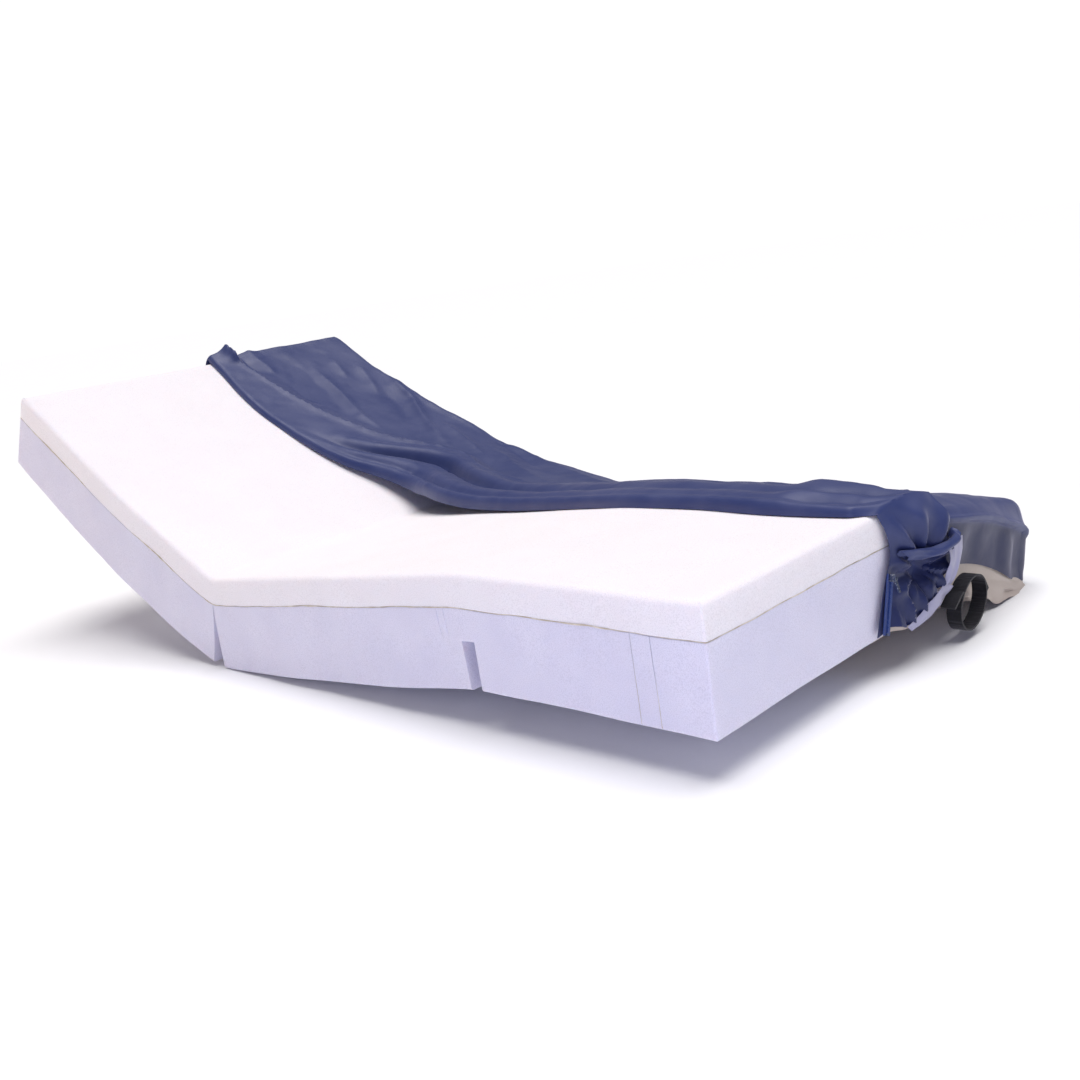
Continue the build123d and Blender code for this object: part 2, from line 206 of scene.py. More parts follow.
def shell_of_cells(ss, ys, hs, empty=lambda s, h: False):
    """Vertices and quads round a box of cells, less those whose middle is in the empty part of the profile."""
    solid = np.ones((len(ss) + 1, len(ys) + 1, len(hs) + 1), dtype=bool)
    solid[[0, -1]] = solid[:, [0, -1]] = solid[:, :, [0, -1]] = False
    for i in range(1, len(ss)):
        for k in range(1, len(hs)):
            if empty((ss[i - 1] + ss[i]) / 2, (hs[k - 1] + hs[k]) / 2):
                solid[i, :, k] = False
    shape = (len(ss), len(ys), len(hs))
    corner = np.arange(np.prod(shape)).reshape(shape)
    one_way = ((0, 0), (1, 0), (1, 1), (0, 1))
    faces = []
    for axis in range(3):
        before = np.take(solid, range(0, solid.shape[axis] - 1), axis=axis)
        after = np.take(solid, range(1, solid.shape[axis]), axis=axis)
        for wall, reverse in ((before & ~after, False), (after & ~before, True)):
            spots = np.argwhere(wall)
            other = [i for i in range(3) if i != axis]
            quad = []
            for du, dv in one_way if axis != 1 else one_way[:1] + one_way[:0:-1]:
                at = spots.copy()
                at[:, other[0]] += du - 1
                at[:, other[1]] += dv - 1
                quad.append(corner[at[:, 0], at[:, 1], at[:, 2]])
            quad = np.stack(quad, axis=1)
            faces.append(quad[:, ::-1] if reverse else quad)
    faces = np.concatenate(faces)
    used, place = np.unique(faces, return_inverse=True)
    grid = np.stack(np.meshgrid(ss, ys, hs, indexing="ij"), axis=-1).reshape(-1, 3)
    return grid[used], place.reshape(faces.shape)


def joined_shell(ss, ys, hs, empty, joined):
    """Like shell_of_cells, with a spare ring past each joined end: points, faces, kept faces and caps."""
    ring = 0.01
    wide = np.concatenate([[ss[0] - ring]] * joined[0] + [ss] + [[ss[-1] + ring]] * joined[1])
    points, faces = shell_of_cells(wide, ys, hs, empty)
    middle = points[faces][:, :, 0].mean(axis=1)
    kept = (middle > ss[0] - 1e-6) & (middle < ss[-1] + 1e-6)
    caps, grid = [], np.stack(np.meshgrid(ys, hs, indexing="ij"), axis=-1).reshape(-1, 2)
    for is_joined, s, turn in ((joined[0], ss[0], 1), (joined[1], ss[-1], -1)):
        if is_joined:
            index = len(points) + np.arange(len(grid)).reshape(len(ys), len(hs))
            points = np.vstack([points, np.column_stack([np.full(len(grid), s), grid])])
            quads = [index[:-1, :-1], index[:-1, 1:], index[1:, 1:], index[1:, :-1]]
            caps.append(np.stack(quads, axis=-1).reshape(-1, 4)[:, ::turn])
    _, first, same = np.unique(np.round(points, 7), axis=0, return_index=True, return_inverse=True)
    same = same.ravel()
    caps = same[np.concatenate(caps)] if caps else None
    return points[first], same[faces], kept, caps


def soften(points, low, high, top, bottom, plan=0.003):
    """Rounds the edges of a box: plan is the radius of the upright ones, top and bottom of the level ones."""
    low, high = np.array(low, float), np.array(high, float)
    middle, half = (low + high) / 2, (high - low) / 2
    rel = points - middle
    out = np.abs(rel[:, :2]) - (half[:2] - plan)
    length = np.linalg.norm(np.clip(out, 0, None), axis=1)
    in_corner = (out > 0).all(axis=1)
    depth = np.where(in_corner, plan - length, (half[:2] - np.abs(rel[:, :2])).min(axis=1))
    nearest = np.argmin(half[:2] - np.abs(rel[:, :2]), axis=1)
    outward = np.clip(out, 0, None) / np.maximum(length, 1e-9)[:, None]
    normal = np.where(in_corner[:, None], outward, np.eye(2)[nearest])
    normal = normal * np.sign(rel[:, :2])
    squeeze = in_corner & (length > plan)
    rel[squeeze, :2] -= (length - plan)[squeeze, None] * normal[squeeze]
    depth[squeeze] = 0.0
    radius = np.where(rel[:, 2] > 0, top, bottom)
    rise = half[2] - np.abs(rel[:, 2])
    side, cap = radius - depth, radius - rise
    reach = np.hypot(side, cap)
    on_edge = (side > 0) & (cap > 0) & (reach > radius)
    share = np.where(on_edge, radius / np.maximum(reach, 1e-9), 1.0)
    rel[:, :2] -= ((side - side * share) * on_edge)[:, None] * normal
    rel[:, 2] -= (cap - cap * share) * on_edge * np.sign(rel[:, 2])
    return rel + middle


# ---------------------------------------------------------------- node materials
LOOK = "_look"


class Nodes:
    """A small helper that adds shader nodes and links them."""

    def __init__(self, name):
        self.material = bpy.data.materials.new(name + LOOK)
        self.material.use_nodes = True
        self.tree = self.material.node_tree
        self.shader = self.tree.nodes["Principled BSDF"]
        self.place = self.add("ShaderNodeTexCoord").outputs["Object"]

    def add(self, kind, **settings):
        node = self.tree.nodes.new(kind)
        for key, val in settings.items():
            setattr(node, key, val)
        return node

    def link(self, source, target):
        self.tree.links.new(source, target)

    def noise(self, scale, detail=2.0, rough=0.5):
        node = self.add("ShaderNodeTexNoise")
        node.inputs["Scale"].default_value = scale
        node.inputs["Detail"].default_value = detail
        node.inputs["Roughness"].default_value = rough
        self.link(self.place, node.inputs["Vector"])
        return node.outputs["Fac"]

    def cells(self, scale, output="Distance"):
        node = self.add("ShaderNodeTexVoronoi")
        node.inputs["Scale"].default_value = scale
        self.link(self.place, node.inputs["Vector"])
        return node.outputs[output]

    def ramp(self, value, low, high, to_low=0.0, to_high=1.0):
        node = self.add("ShaderNodeMapRange", clamp=True)
        for key, val in zip(("From Min", "From Max", "To Min", "To Max"), (low, high, to_low, to_high)):
            node.inputs[key].default_value = val
        self.link(value, node.inputs["Value"])
        return node.outputs["Result"]

    def math(self, operation, a, b):
        node = self.add("ShaderNodeMath", operation=operation)
        for slot, val in zip(node.inputs, (a, b)):
            if isinstance(val, (int, float)):
                slot.default_value = val
            else:
                self.link(val, slot)
        return node.outputs[0]

    def mix(self, factor, a, b):
        node = self.add("ShaderNodeMix", data_type="RGBA")
        self.link(factor, node.inputs["Factor"])
        for slot, val in ((node.inputs[6], a), (node.inputs[7], b)):
            if isinstance(val, tuple):
                slot.default_value = (*val, 1.0)
            else:
                self.link(val, slot)
        return node.outputs[2]

    def bump(self, height, strength, distance, before=None):
        node = self.add("ShaderNodeBump")
        node.inputs["Strength"].default_value = strength
        node.inputs["Distance"].default_value = distance
        self.link(height, node.inputs["Height"])
        if before is not None:
            self.link(before, node.inputs["Normal"])
        return node.outputs["Normal"]

    def finish(self, colour, normal, rough, **fixed):
        self.link(colour, self.shader.inputs["Base Color"])
        self.link(normal, self.shader.inputs["Normal"])
        self.link(rough, self.shader.inputs["Roughness"])
        for key, val in fixed.items():
            self.shader.inputs[key.replace("_", " ")].default_value = val
        return self.material


def foam_material(name, colour, shade, speck, specks):
    """Open-cell foam: fine cells, soft mottling, small specks of dirt and a little light let through."""
    m = Nodes(name)
    mottle = m.ramp(m.noise(9.0, 3.0), 0.35, 0.65)
    colour = m.mix(mottle, shade, colour)
    cell = m.noise(620.0, 3.0, 0.65)
    colour = m.mix(m.ramp(cell, 0.30, 0.55), tuple(0.86 * c for c in shade), colour)
    dots = m.cells(42.0)
    sparse = m.ramp(m.cells(42.0, output="Color"), 1 - specks, 1 - specks + 0.01)
    small = m.ramp(dots, 0.05, 0.09, 1.0, 0.0)
    colour = m.mix(m.math("MULTIPLY", small, sparse), colour, speck)
    normal = m.bump(cell, 0.55, 0.0012)
    normal = m.bump(m.noise(60.0, 2.0), 0.15, 0.002, normal)
    rough = m.ramp(cell, 0.3, 0.7, 0.86, 0.98)
    return m.finish(colour, normal, rough, Subsurface_Weight=0.22, Subsurface_Scale=0.012,
                    Subsurface_Radius=(1.0, 0.72, 0.60), Specular_IOR_Level=0.18)


def glue_material():
    """Dried contact glue, yellowed, in smears along the joint."""
    m = Nodes("foam_glue")
    smear = m.ramp(m.noise(45.0, 3.0), 0.35, 0.65)
    colour = m.mix(smear, (0.50, 0.42, 0.30), (0.78, 0.72, 0.62))
    normal = m.bump(m.noise(320.0, 3.0), 0.5, 0.0008)
    return m.finish(colour, normal, m.ramp(smear, 0.0, 1.0, 0.55, 0.85), Specular_IOR_Level=0.35)


def cover_material(name, colour, worn, sheen):
    """Polyurethane-coated stretch knit: a fine knit grain under a satin coat, rubbed paler in places, with
    painted shade that darkens it towards a dim copy of its colour where the 'shade' attribute is set.
    """
    m = Nodes(name)
    rub = m.ramp(m.noise(7.0, 4.0, 0.6), 0.42, 0.78)
    # painted shade: a dim copy of the colour, mixed in below wherever the 'shade' attribute marks the foot end
    painted_shade_colour = tuple(share * c for share, c in zip((0.20, 0.26, 0.45), colour))
    colour = m.mix(rub, colour, worn)
    shade = m.add("ShaderNodeAttribute", attribute_name="shade")
    colour = m.mix(shade.outputs["Fac"], colour, painted_shade_colour)
    knit = m.math("MULTIPLY", m.cells(780.0), m.ramp(m.noise(1500.0, 1.0), 0.2, 0.8, 0.6, 1.0))
    crinkle = m.noise(52.0, 3.0, 0.55)
    normal = m.bump(knit, 0.16, 0.0004)
    normal = m.bump(crinkle, 0.10, 0.003, normal)
    rough = m.ramp(m.noise(26.0, 3.0), 0.3, 0.7, 0.40, 0.54)
    return m.finish(colour, normal, rough, Sheen_Weight=sheen, Sheen_Roughness=0.35,
                    Sheen_Tint=(0.75, 0.72, 0.85, 1.0), Specular_IOR_Level=0.42)


def woven_material(name, colour, light, across, along, rough=0.7):
    """Woven tape: two sets of ribs at right angles, with lighter threads."""
    m = Nodes(name)
    ribs = []
    for scale, direction in ((across, "Y"), (along, "Z")):
        wave = m.add("ShaderNodeTexWave", bands_direction=direction)
        wave.inputs["Scale"].default_value = scale
        wave.inputs["Distortion"].default_value = 0.6
        m.link(m.place, wave.inputs["Vector"])
        ribs.append(wave.outputs["Fac"])
    weave = m.math("MULTIPLY", ribs[0], ribs[1])
    colour = m.mix(m.ramp(weave, 0.5, 1.0), colour, light)
    normal = m.bump(weave, 0.6, 0.0006)
    return m.finish(colour, normal, m.ramp(m.noise(90.0), 0.3, 0.7, rough - 0.1, rough + 0.1),
                    Specular_IOR_Level=0.3, Sheen_Weight=0.15)


def metal_material():
    """Painted die-cast metal, with the paint rubbed off in places."""
    m = Nodes("zip_metal")
    worn = m.ramp(m.noise(420.0, 4.0, 0.6), 0.55, 0.65)
    colour = m.mix(worn, (0.06, 0.08, 0.14), (0.38, 0.40, 0.46))
    normal = m.bump(m.noise(900.0, 2.0), 0.25, 0.0003)
    return m.finish(colour, normal, m.ramp(worn, 0.0, 1.0, 0.30, 0.42), Metallic=0.75)


def floor_material():
    """Pale studio paper with a faint grain."""
    m = Nodes("studio_paper")
    grain = m.noise(3.0, 4.0)
    colour = m.mix(m.ramp(grain, 0.3, 0.7), (0.945, 0.965, 0.965), (0.965, 0.985, 0.98))
    return m.finish(colour, m.bump(m.noise(200.0), 0.05, 0.0005), m.ramp(grain, 0.3, 0.7, 0.8, 0.9))


TOP_FOAM = foam_material("top_foam", (0.955, 0.925, 0.945), (0.935, 0.90, 0.92), (0.42, 0.27, 0.18), 0.035)
BASE_FOAM = foam_material("base_foam", (0.80, 0.79, 0.905), (0.745, 0.735, 0.865), (0.45, 0.34, 0.36), 0.008)
FOAM_GLUE = glue_material()
NAVY = cover_material("cover_fabric", (0.030, 0.046, 0.150), (0.062, 0.078, 0.185), 0.30)
BASE_FABRIC = cover_material("base_fabric", (0.50, 0.43, 0.375), (0.59, 0.52, 0.46), 0.10)
PALE_HEM = cover_material("pale_hem_fabric", (0.36, 0.36, 0.50), (0.50, 0.48, 0.60), 0.15)
ZIP_TAPE = woven_material("zip_tape", (0.018, 0.045, 0.20), (0.05, 0.11, 0.36), 260.0, 420.0)
ZIP_TEETH = woven_material("zip_teeth", (0.02, 0.06, 0.26), (0.07, 0.16, 0.50), 180.0, 300.0, 0.42)
ZIP_METAL = metal_material()
WEBBING = woven_material("webbing", (0.006, 0.006, 0.008), (0.030, 0.030, 0.036), 130.0, 260.0)


# ---------------------------------------------------------------- foam
TOP_EDGE, LOW_EDGE, CUT_EDGE = 0.013, 0.005, 0.0012
GAP = 0.0006
CUT_LINES = (KNEE - 0.062, KNEE - 0.046)
FAR_AWAY = 9.0
FOAM_STEP, FOAM_STEP_ACROSS, FOAM_STEP_UP, EDGE_RINGS = 0.0125, 0.0145, 0.011, 0.009
CUT_DEPTH, CUT_END = 0.0016, -0.036
NOTCH_HALF, NOTCH_CEILING = 0.016, -0.050
FILLER, BLOCK = 1.056, 1.090
HALF_SEAM = 0.0005


def seam_wave(s, y):
    """How the joint between the layers wavers, in metres."""
    spots = np.stack([s, y], axis=-1)
    return 0.0016 * value_noise(spots, 0.085, 3) + 0.0008 * value_noise(spots, 0.028, 5)


def foam_shape(points, box_low, box_high, top, bottom):
    """Softened and slightly uneven foam, still in station, across and level."""
    points = soften(points, box_low, box_high, top, bottom)
    s, y, h = points.T
    near = np.clip(-y / HALF, 0, 1) ** 6
    y = y + near * 0.0016 * value_noise(np.stack([s, h], axis=-1), 0.11, 11)
    h = h + 0.0012 * value_noise(np.stack([s, y], axis=-1), 0.16, 17) * np.clip(h / TOP, 0, 1)
    h = h + 0.0016 * value_noise(np.stack([s, y], axis=-1), 0.13, 19) * np.clip(-h / BASE, 0, 1) ** 3
    h = h + seam_wave(s, y) * np.exp(-np.abs(h) / 0.012)
    return np.stack([s, y, h], axis=-1)


def bend_across(piece, joint):
    """Bakes the piece's placement into its mesh; it looks up the hip or the knee but does not attach the piece
    to it or let it bend.
    """
    station, reach, names = {"hip_bend": (0.0, HIP_ROUNDING, ("back", "thigh")),
                             "knee_bend": (KNEE, KNEE_ROUNDING, ("thigh", "leg"))}[joint]
    middle = core_point(station, 0.0, 0.0)
    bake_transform(piece)


def foam_piece(name, material, stands_for, joint=None, body=None, **kept):
    """Foam between two stations and levels, s and h. kept also holds the radii, ends, hole and cut marks."""
    (s0, s1), (h0, h1) = kept["s"], kept["h"]
    top, bottom = kept.get("radii", (TOP_EDGE, LOW_EDGE))
    soft0, soft1 = kept.get("soft", (True, True))
    ss = steps(s0, s1, FOAM_STEP, EDGE_RINGS, soft0, soft1)
    extra = [x + d for x in kept.get("columns", ()) for d in (-0.001, 0.0, 0.001)]
    ss = np.unique(np.concatenate([ss, extra, kept.get("edges", ())]))
    ys = steps(-HALF, HALF, FOAM_STEP_ACROSS, FOAM_STEP_UP)
    hs = np.unique(np.concatenate([steps(h0, h1, FOAM_STEP_UP, EDGE_RINGS), kept.get("levels", ())]))
    points, faces, shown, caps = joined_shell(
        ss, ys, hs, kept.get("hole", lambda s, h: False), kept.get("joined", (False, False)))
    low = (s0 if soft0 else s0 - FAR_AWAY, -HALF, h0)
    high = (s1 if soft1 else s1 + FAR_AWAY, HALF, h1)
    points = foam_shape(points, low, high, top, bottom)
    for x in kept.get("columns", ()):
        cut = (np.abs(points[:, 0] - x) < 2e-4) & (points[:, 1] < -HALF + 0.004) & (points[:, 2] > CUT_END)
        points[cut, 1] += CUT_DEPTH
    if "lean" in kept:
        points[:, 0] = kept["lean"](points[:, 0], points[:, 2])
    piece = make_mesh(name, core_point(*points.T), faces, material, shown, caps, 40)
    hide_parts(*stands_for)
    if joint:
        bend_across(piece, joint)
    else:
        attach(piece, body)


def slit_lean(end, sign):
    """Moves the points near the hip so that the slit between the blocks widens downwards."""
    def lean(s, h):
        face = sign * (0.0006 + 0.0072 * np.clip(-h / BASE, 0, 1))
        return s + face * np.clip((s - end) / (0 - end), 0, 1)
    return lean


def in_notch(s, h):
    return abs(s - KNEE) < NOTCH_HALF and h < NOTCH_CEILING


def build_foam():
    """The two layers of the core, cut as on the real one, and the glue in their joints."""
    top = {"h": (GAP, TOP), "radii": (TOP_EDGE, CUT_EDGE)}
    foam_piece("top_foam_head_half", TOP_FOAM, ("back_top_foam", "thigh_top_foam"), "hip_bend",
               s=(-BACK, MID_THIGH), soft=(True, False), joined=(False, True), **top)
    foam_piece("top_foam_foot_half", TOP_FOAM, ("leg_top_foam",), "knee_bend",
               s=(MID_THIGH, FOOT), soft=(False, True), joined=(True, False), **top)
    base = {"h": (-BASE, -GAP), "radii": (CUT_EDGE, LOW_EDGE)}
    foam_piece("base_foam_back", BASE_FOAM, ("back_base_foam",), "hip_bend",
               s=(-BACK, 0.0), soft=(True, False), lean=slit_lean(-0.06, -1), **base)
    foam_piece("base_foam_thigh", BASE_FOAM, ("thigh_base_foam",), "hip_bend",
               s=(0.0, MID_THIGH), soft=(False, False), joined=(False, True), lean=slit_lean(0.06, 1), **base)
    foam_piece("base_foam_leg", BASE_FOAM, ("leg_base_foam",), "knee_bend",
               s=(MID_THIGH, FILLER - HALF_SEAM), soft=(False, False), joined=(True, False), columns=CUT_LINES,
               hole=in_notch, edges=(KNEE - NOTCH_HALF, KNEE + NOTCH_HALF), levels=(NOTCH_CEILING,), **base)
    foam_piece("foot_filler", BASE_FOAM, ("foot_filler_strip",), body="leg",
               s=(FILLER + HALF_SEAM, BLOCK - HALF_SEAM), soft=(False, False), **base)
    foam_piece("foot_block", BASE_FOAM, ("foot_end_block",), body="leg",
               s=(BLOCK + HALF_SEAM, FOOT), soft=(False, True), **base)
    glue_piece("glue_head_half", ("back_layer_glue", "thigh_layer_glue"), "hip_bend", -BACK + 0.002, MID_THIGH)
    glue_piece("glue_foot_half", ("leg_layer_glue",), "knee_bend", MID_THIGH, FOOT - 0.0004)
    for name, stands_for, s in (("glue_at_filler", "strip_glue_seam", FILLER),
                                ("glue_at_block", "end_block_glue_seam", BLOCK)):
        ys, hs = np.linspace(-HALF + 0.0005, HALF - 0.002, 40), np.linspace(-BASE + 0.003, -0.001, 16)
        points, faces = shell_of_cells(np.array([s - 0.0008, s + 0.0008]), ys, hs)
        points[:, 0] += 0.0005 * value_noise(points[:, 1:], 0.03, 31)
        piece = make_mesh(name, core_point(*points.T), faces, FOAM_GLUE)
        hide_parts(stands_for)
        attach(piece, "leg")


def glue_piece(name, stands_for, joint, s0, s1):
    """A thin uneven film of glue that fills the joint between the layers and bleeds out a little."""
    ss, ys = np.arange(s0, s1, 0.006), np.linspace(-HALF, HALF, 80)
    ss = np.append(ss, s1)
    points, faces = shell_of_cells(ss, ys, np.array([-0.0007, 0.0007]))
    s, y, h = points.T
    rim = np.sign(y) * (np.abs(y) > HALF - 1e-6)
    bleed = 0.0009 * value_noise(np.stack([s, y], axis=-1), 0.021, 41) - 0.0004
    h = h * (1.0 + 0.7 * value_noise(np.stack([s, y], axis=-1), 0.033, 43)) + seam_wave(s, y)
    piece = make_mesh(name, core_point(s, y + rim * bleed, h), faces, FOAM_GLUE)
    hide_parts(*stands_for)
    bend_across(piece, joint)


build_foam()


# ---------------------------------------------------------------- the cover over the far half
def along(*pairs):
    """A smooth curve through pairs of place and value."""
    places, values = np.array(pairs, float).T
    slopes = np.gradient(values, places)

    def curve(at):
        at = np.clip(at, places[0], places[-1])
        i = np.clip(np.searchsorted(places, at) - 1, 0, len(places) - 2)
        step = places[i + 1] - places[i]
        t = (at - places[i]) / step
        return ((2 * t**3 - 3 * t**2 + 1) * values[i] + (t**3 - 2 * t**2 + t) * step * slopes[i]
                + (3 * t**2 - 2 * t**3) * values[i + 1] + (t**3 - t**2) * step * slopes[i + 1])
    return curve


def noise_along(places, scale, seed):
    """Smooth noise along one direction only."""
    return value_noise(np.stack([places, 0 * places], axis=-1), scale, seed)


# The near edge of the cover, and how far it is held off the foam where it spans the bend at the hip.
EDGE_LINE = along((-0.81, 0.034), (-0.74, 0.030), (-0.63, 0.018), (-0.54, 0.014), (-0.46, 0.019),
                  (-0.38, 0.026), (-0.25, 0.046), (-0.15, 0.072), (-0.05, 0.074), (0.06, 0.046),
                  (0.17, 0.012), (0.385, -0.022), (0.56, -0.038), (0.72, -0.054), (0.88, -0.048),
                  (1.01, -0.058), (1.10, -0.052), (1.18, -0.042))
EDGE_LIFT = along((-0.45, 0.0), (-0.30, 0.003), (-0.20, 0.010), (-0.10, 0.024), (0.0, 0.036), (0.08, 0.038),
                  (0.16, 0.026), (0.26, 0.012), (0.40, 0.003), (0.55, 0.0))
FAR_LIFT = along((-0.55, 0.0), (-0.36, 0.010), (-0.18, 0.032), (-0.02, 0.050), (0.14, 0.042), (0.32, 0.018),
                 (0.55, 0.004), (0.75, 0.0))
FRONT_RISE = along((-0.81, 0.012), (-0.5, 0.013), (-0.3, 0.017), (-0.1, 0.026), (0.1, 0.026), (0.4, 0.022),
                   (0.8, 0.020), (1.05, 0.021), (1.18, 0.014))
FRONT_RUN = along((-0.81, 0.010), (-0.4, 0.012), (-0.1, 0.022), (0.2, 0.018), (0.6, 0.014), (1.18, 0.014))
STRIP_WIDTH = along((-0.81, 0.045), (-0.6, 0.098), (-0.43, 0.128), (-0.27, 0.150), (-0.12, 0.165), (0.1, 0.170),
                    (0.5, 0.150), (1.18, 0.140))
SEAM_RIDGE = along((-0.81, 0.010), (-0.5, 0.007), (-0.2, 0.008), (0.0, 0.006), (0.4, 0.003), (1.18, 0.002))
VALLEY_PLACE = along((-0.40, 0.030), (-0.26, 0.062), (-0.12, 0.102), (0.05, 0.110), (0.3, 0.085), (0.8, 0.070))
VALLEY_DEPTH = along((-0.42, 0.0), (-0.30, 0.008), (-0.15, 0.018), (0.05, 0.020), (0.25, 0.010), (0.5, 0.004),
                     (1.0, 0.003))
ROUNDING = along((0.6, 0.020), (1.178, 0.022))

# Wrinkles pulled towards the hip: height, width and the line that each follows, as station and across.
WRINKLES = (
    (-0.008, 0.030, ((-0.75, 0.250), (-0.62, 0.190), (-0.50, 0.155))),
    (0.008, 0.012, ((-0.72, 0.275), (-0.62, 0.262), (-0.54, 0.255), (-0.42, 0.228), (-0.30, 0.225))),
    (-0.005, 0.028, ((-0.66, 0.230), (-0.52, 0.215), (-0.40, 0.200))),
    (0.006, 0.011, ((-0.72, 0.345), (-0.60, 0.320))),
    (0.007, 0.011, ((-0.68, 0.400), (-0.58, 0.372), (-0.50, 0.345))),
    (0.011, 0.013, ((-0.66, 0.437), (-0.54, 0.424), (-0.44, 0.405), (-0.34, 0.360), (-0.24, 0.315),
                    (-0.13, 0.275))),
    (-0.007, 0.030, ((-0.56, 0.385), (-0.42, 0.355), (-0.30, 0.310), (-0.20, 0.270))),
    (0.010, 0.014, ((-0.58, 0.470), (-0.48, 0.436), (-0.39, 0.425), (-0.28, 0.430), (-0.16, 0.415))),
    (0.009, 0.013, ((-0.33, 0.385), (-0.24, 0.362), (-0.15, 0.340), (-0.06, 0.315))),
    (-0.009, 0.024, ((-0.22, 0.430), (-0.12, 0.415), (0.02, 0.390), (0.14, 0.350))),
    (0.010, 0.024, ((-0.12, 0.375), (0.02, 0.340), (0.18, 0.280), (0.34, 0.220))),
    (0.007, 0.026, ((0.05, 0.430), (0.22, 0.380), (0.44, 0.340))),
    (-0.006, 0.030, ((0.10, 0.300), (0.30, 0.240), (0.52, 0.190))),
    (0.005, 0.030, ((0.34, 0.120), (0.60, 0.090), (0.86, 0.080))),
    (0.006, 0.035, ((0.56, 0.330), (0.80, 0.300), (1.02, 0.310))),
    (0.008, 0.016, ((1.00, -0.018), (1.06, -0.006), (1.12, 0.008), (1.19, 0.020))),
    (-0.010, 0.012, ((1.02, -0.034), (1.08, -0.026), (1.14, -0.016), (1.19, -0.008))),
    (0.012, 0.024, ((0.98, 0.060), (1.06, 0.070), (1.13, 0.066), (1.19, 0.058))),
    (-0.008, 0.016, ((1.05, 0.020), (1.12, 0.036), (1.19, 0.040))),
    (0.010, 0.022, ((1.06, 0.150), (1.13, 0.140), (1.19, 0.120))),
    (-0.008, 0.020, ((1.04, 0.110), (1.12, 0.104), (1.19, 0.096))),
    (0.020, 0.016, ((-0.84, 0.078), (-0.79, 0.082), (-0.75, 0.092))),
    (-0.010, 0.014, ((-0.84, 0.112), (-0.76, 0.116), (-0.68, 0.124))),
    (0.008, 0.014, ((-0.84, 0.150), (-0.76, 0.152), (-0.68, 0.160))),
)
CLOTH = 0.0012
CLOTH_ROUNDING = 0.17
TUCK_DROP = 0.0024
ROW_STEP, BRINK = 0.0075, 0.026
EASING = np.linspace(-0.085, 0.085, 15)


def crease(places, line, width):
    """A sharp-crested ridge, from 0 to 1, along a line through the given points, fading at its ends."""
    line = np.array(line)
    best = np.full(places.shape[:-1], 1e9)
    spot = np.zeros(places.shape[:-1])
    lengths = np.linalg.norm(np.diff(line, axis=0), axis=1)
    for i, (a, b) in enumerate(zip(line, line[1:])):
        t = np.clip(((places - a) @ (b - a)) / lengths[i] ** 2, 0, 1)
        gap = np.linalg.norm(places - (a + t[..., None] * (b - a)), axis=-1)
        closer = gap < best
        best = np.where(closer, gap, best)
        spot = np.where(closer, lengths[:i].sum() + t * lengths[i], spot)
    share = spot / lengths.sum()
    fade = smoothstep(share / 0.3) * smoothstep((1 - share) / 0.3)
    blunt = 0.22 * width
    height = np.exp(-(np.sqrt(best**2 + blunt**2) - blunt) / width)
    return height * fade * smoothstep((4 * width - best) / width)


def hump(v, centre, width):
    return np.exp(-((v - centre) / width) ** 2)


def cover_lift(s, y):
    """How high the cloth stands above the foam."""
    v = y - EDGE_LINE(s)
    held = EDGE_LIFT(s) + (FAR_LIFT(s) - EDGE_LIFT(s)) * smoothstep(v / 0.26)
    front = FRONT_RISE(s) * np.sqrt(1 - (1 - np.clip(v / FRONT_RUN(s), 0, 1)) ** 2)
    beyond = smoothstep((v - STRIP_WIDTH(s)) / 0.055)
    lift = CLOTH + 0.001 + held + front * (1 - beyond) + 0.004 * beyond
    lift = lift + SEAM_RIDGE(s) * np.exp(-np.abs(v - STRIP_WIDTH(s)) / 0.008)
    near_hip = smoothstep((s + 0.42) / 0.2) * (1 - 0.65 * smoothstep((s - 0.15) / 0.4))
    lift = lift - VALLEY_DEPTH(s) * np.exp(-((v - VALLEY_PLACE(s)) / 0.011) ** 2)
    lift = lift + near_hip * 0.009 * hump(v, VALLEY_PLACE(s) * 0.50, 0.022)
    lift = lift + near_hip * 0.011 * hump(v, VALLEY_PLACE(s) + 0.032, 0.022)
    lift = lift - near_hip * 0.006 * hump(v, VALLEY_PLACE(s) * 0.22 + 0.004, 0.007)
    places = np.stack(np.broadcast_arrays(s, y), axis=-1)
    for height, width, line in WRINKLES:
        lift = lift + height * crease(places, line, width)
    lift = lift + 0.0016 * value_noise(places, 0.060, 51) * smoothstep(v / 0.05)
    lift = lift + 0.0007 * value_noise(places, 0.022, 53)
    return np.maximum(lift, CLOTH + 0.0004)


def raised_point(s, y, h):
    """As core_point, but cloth held over a bend follows a gentler curve, so that it never folds back."""
    lift, low = np.maximum(h - TOP, 0.0), np.minimum(h, TOP)
    lean = slope(s, CLOTH_ROUNDING, CLOTH_ROUNDING)
    across = np.zeros(np.shape(lift))
    tight = core_point(s, y, low)
    eased = sum(core_point(s + d, y, low) for d in EASING) / len(EASING)
    base = tight + (eased - tight) * smoothstep(h / TOP)[..., None]
    return base + np.stack([-np.sin(lean) * lift, across, np.cos(lean) * lift], -1)


def wall_ripple(s, h):
    """Soft upright folds in the hanging sides of the cover."""
    spots = np.stack([s + 0.25 * h, 0.35 * h], axis=-1)
    return 0.0035 * value_noise(spots, 0.055, 61) + 0.0015 * value_noise(spots, 0.024, 63)


# Columns across the cover: under the folded near edge, over the top, round the far edge, down and under.
UNDER_FOLD = (0.034, 0.022, 0.010, 0.003)
NEAR_REACH = 0.25
NEAR_PART = np.concatenate([[0.0, 0.0006, 0.0018, 0.0036, 0.006, 0.009], np.arange(0.013, 0.2501, 0.0047)])
FAR_PART = np.linspace(0.0, 1.0, 36)[1:]
TURN = np.linspace(0, math.pi / 2, 8)[1:]
WALL = np.linspace(0.0, 1.0, 20)[1:]
TUCK = (0.006, 0.016, 0.030)
FAR_TOP = 0.424
N_UNDER, N_TOP = len(UNDER_FOLD), len(NEAR_PART) + len(FAR_PART)


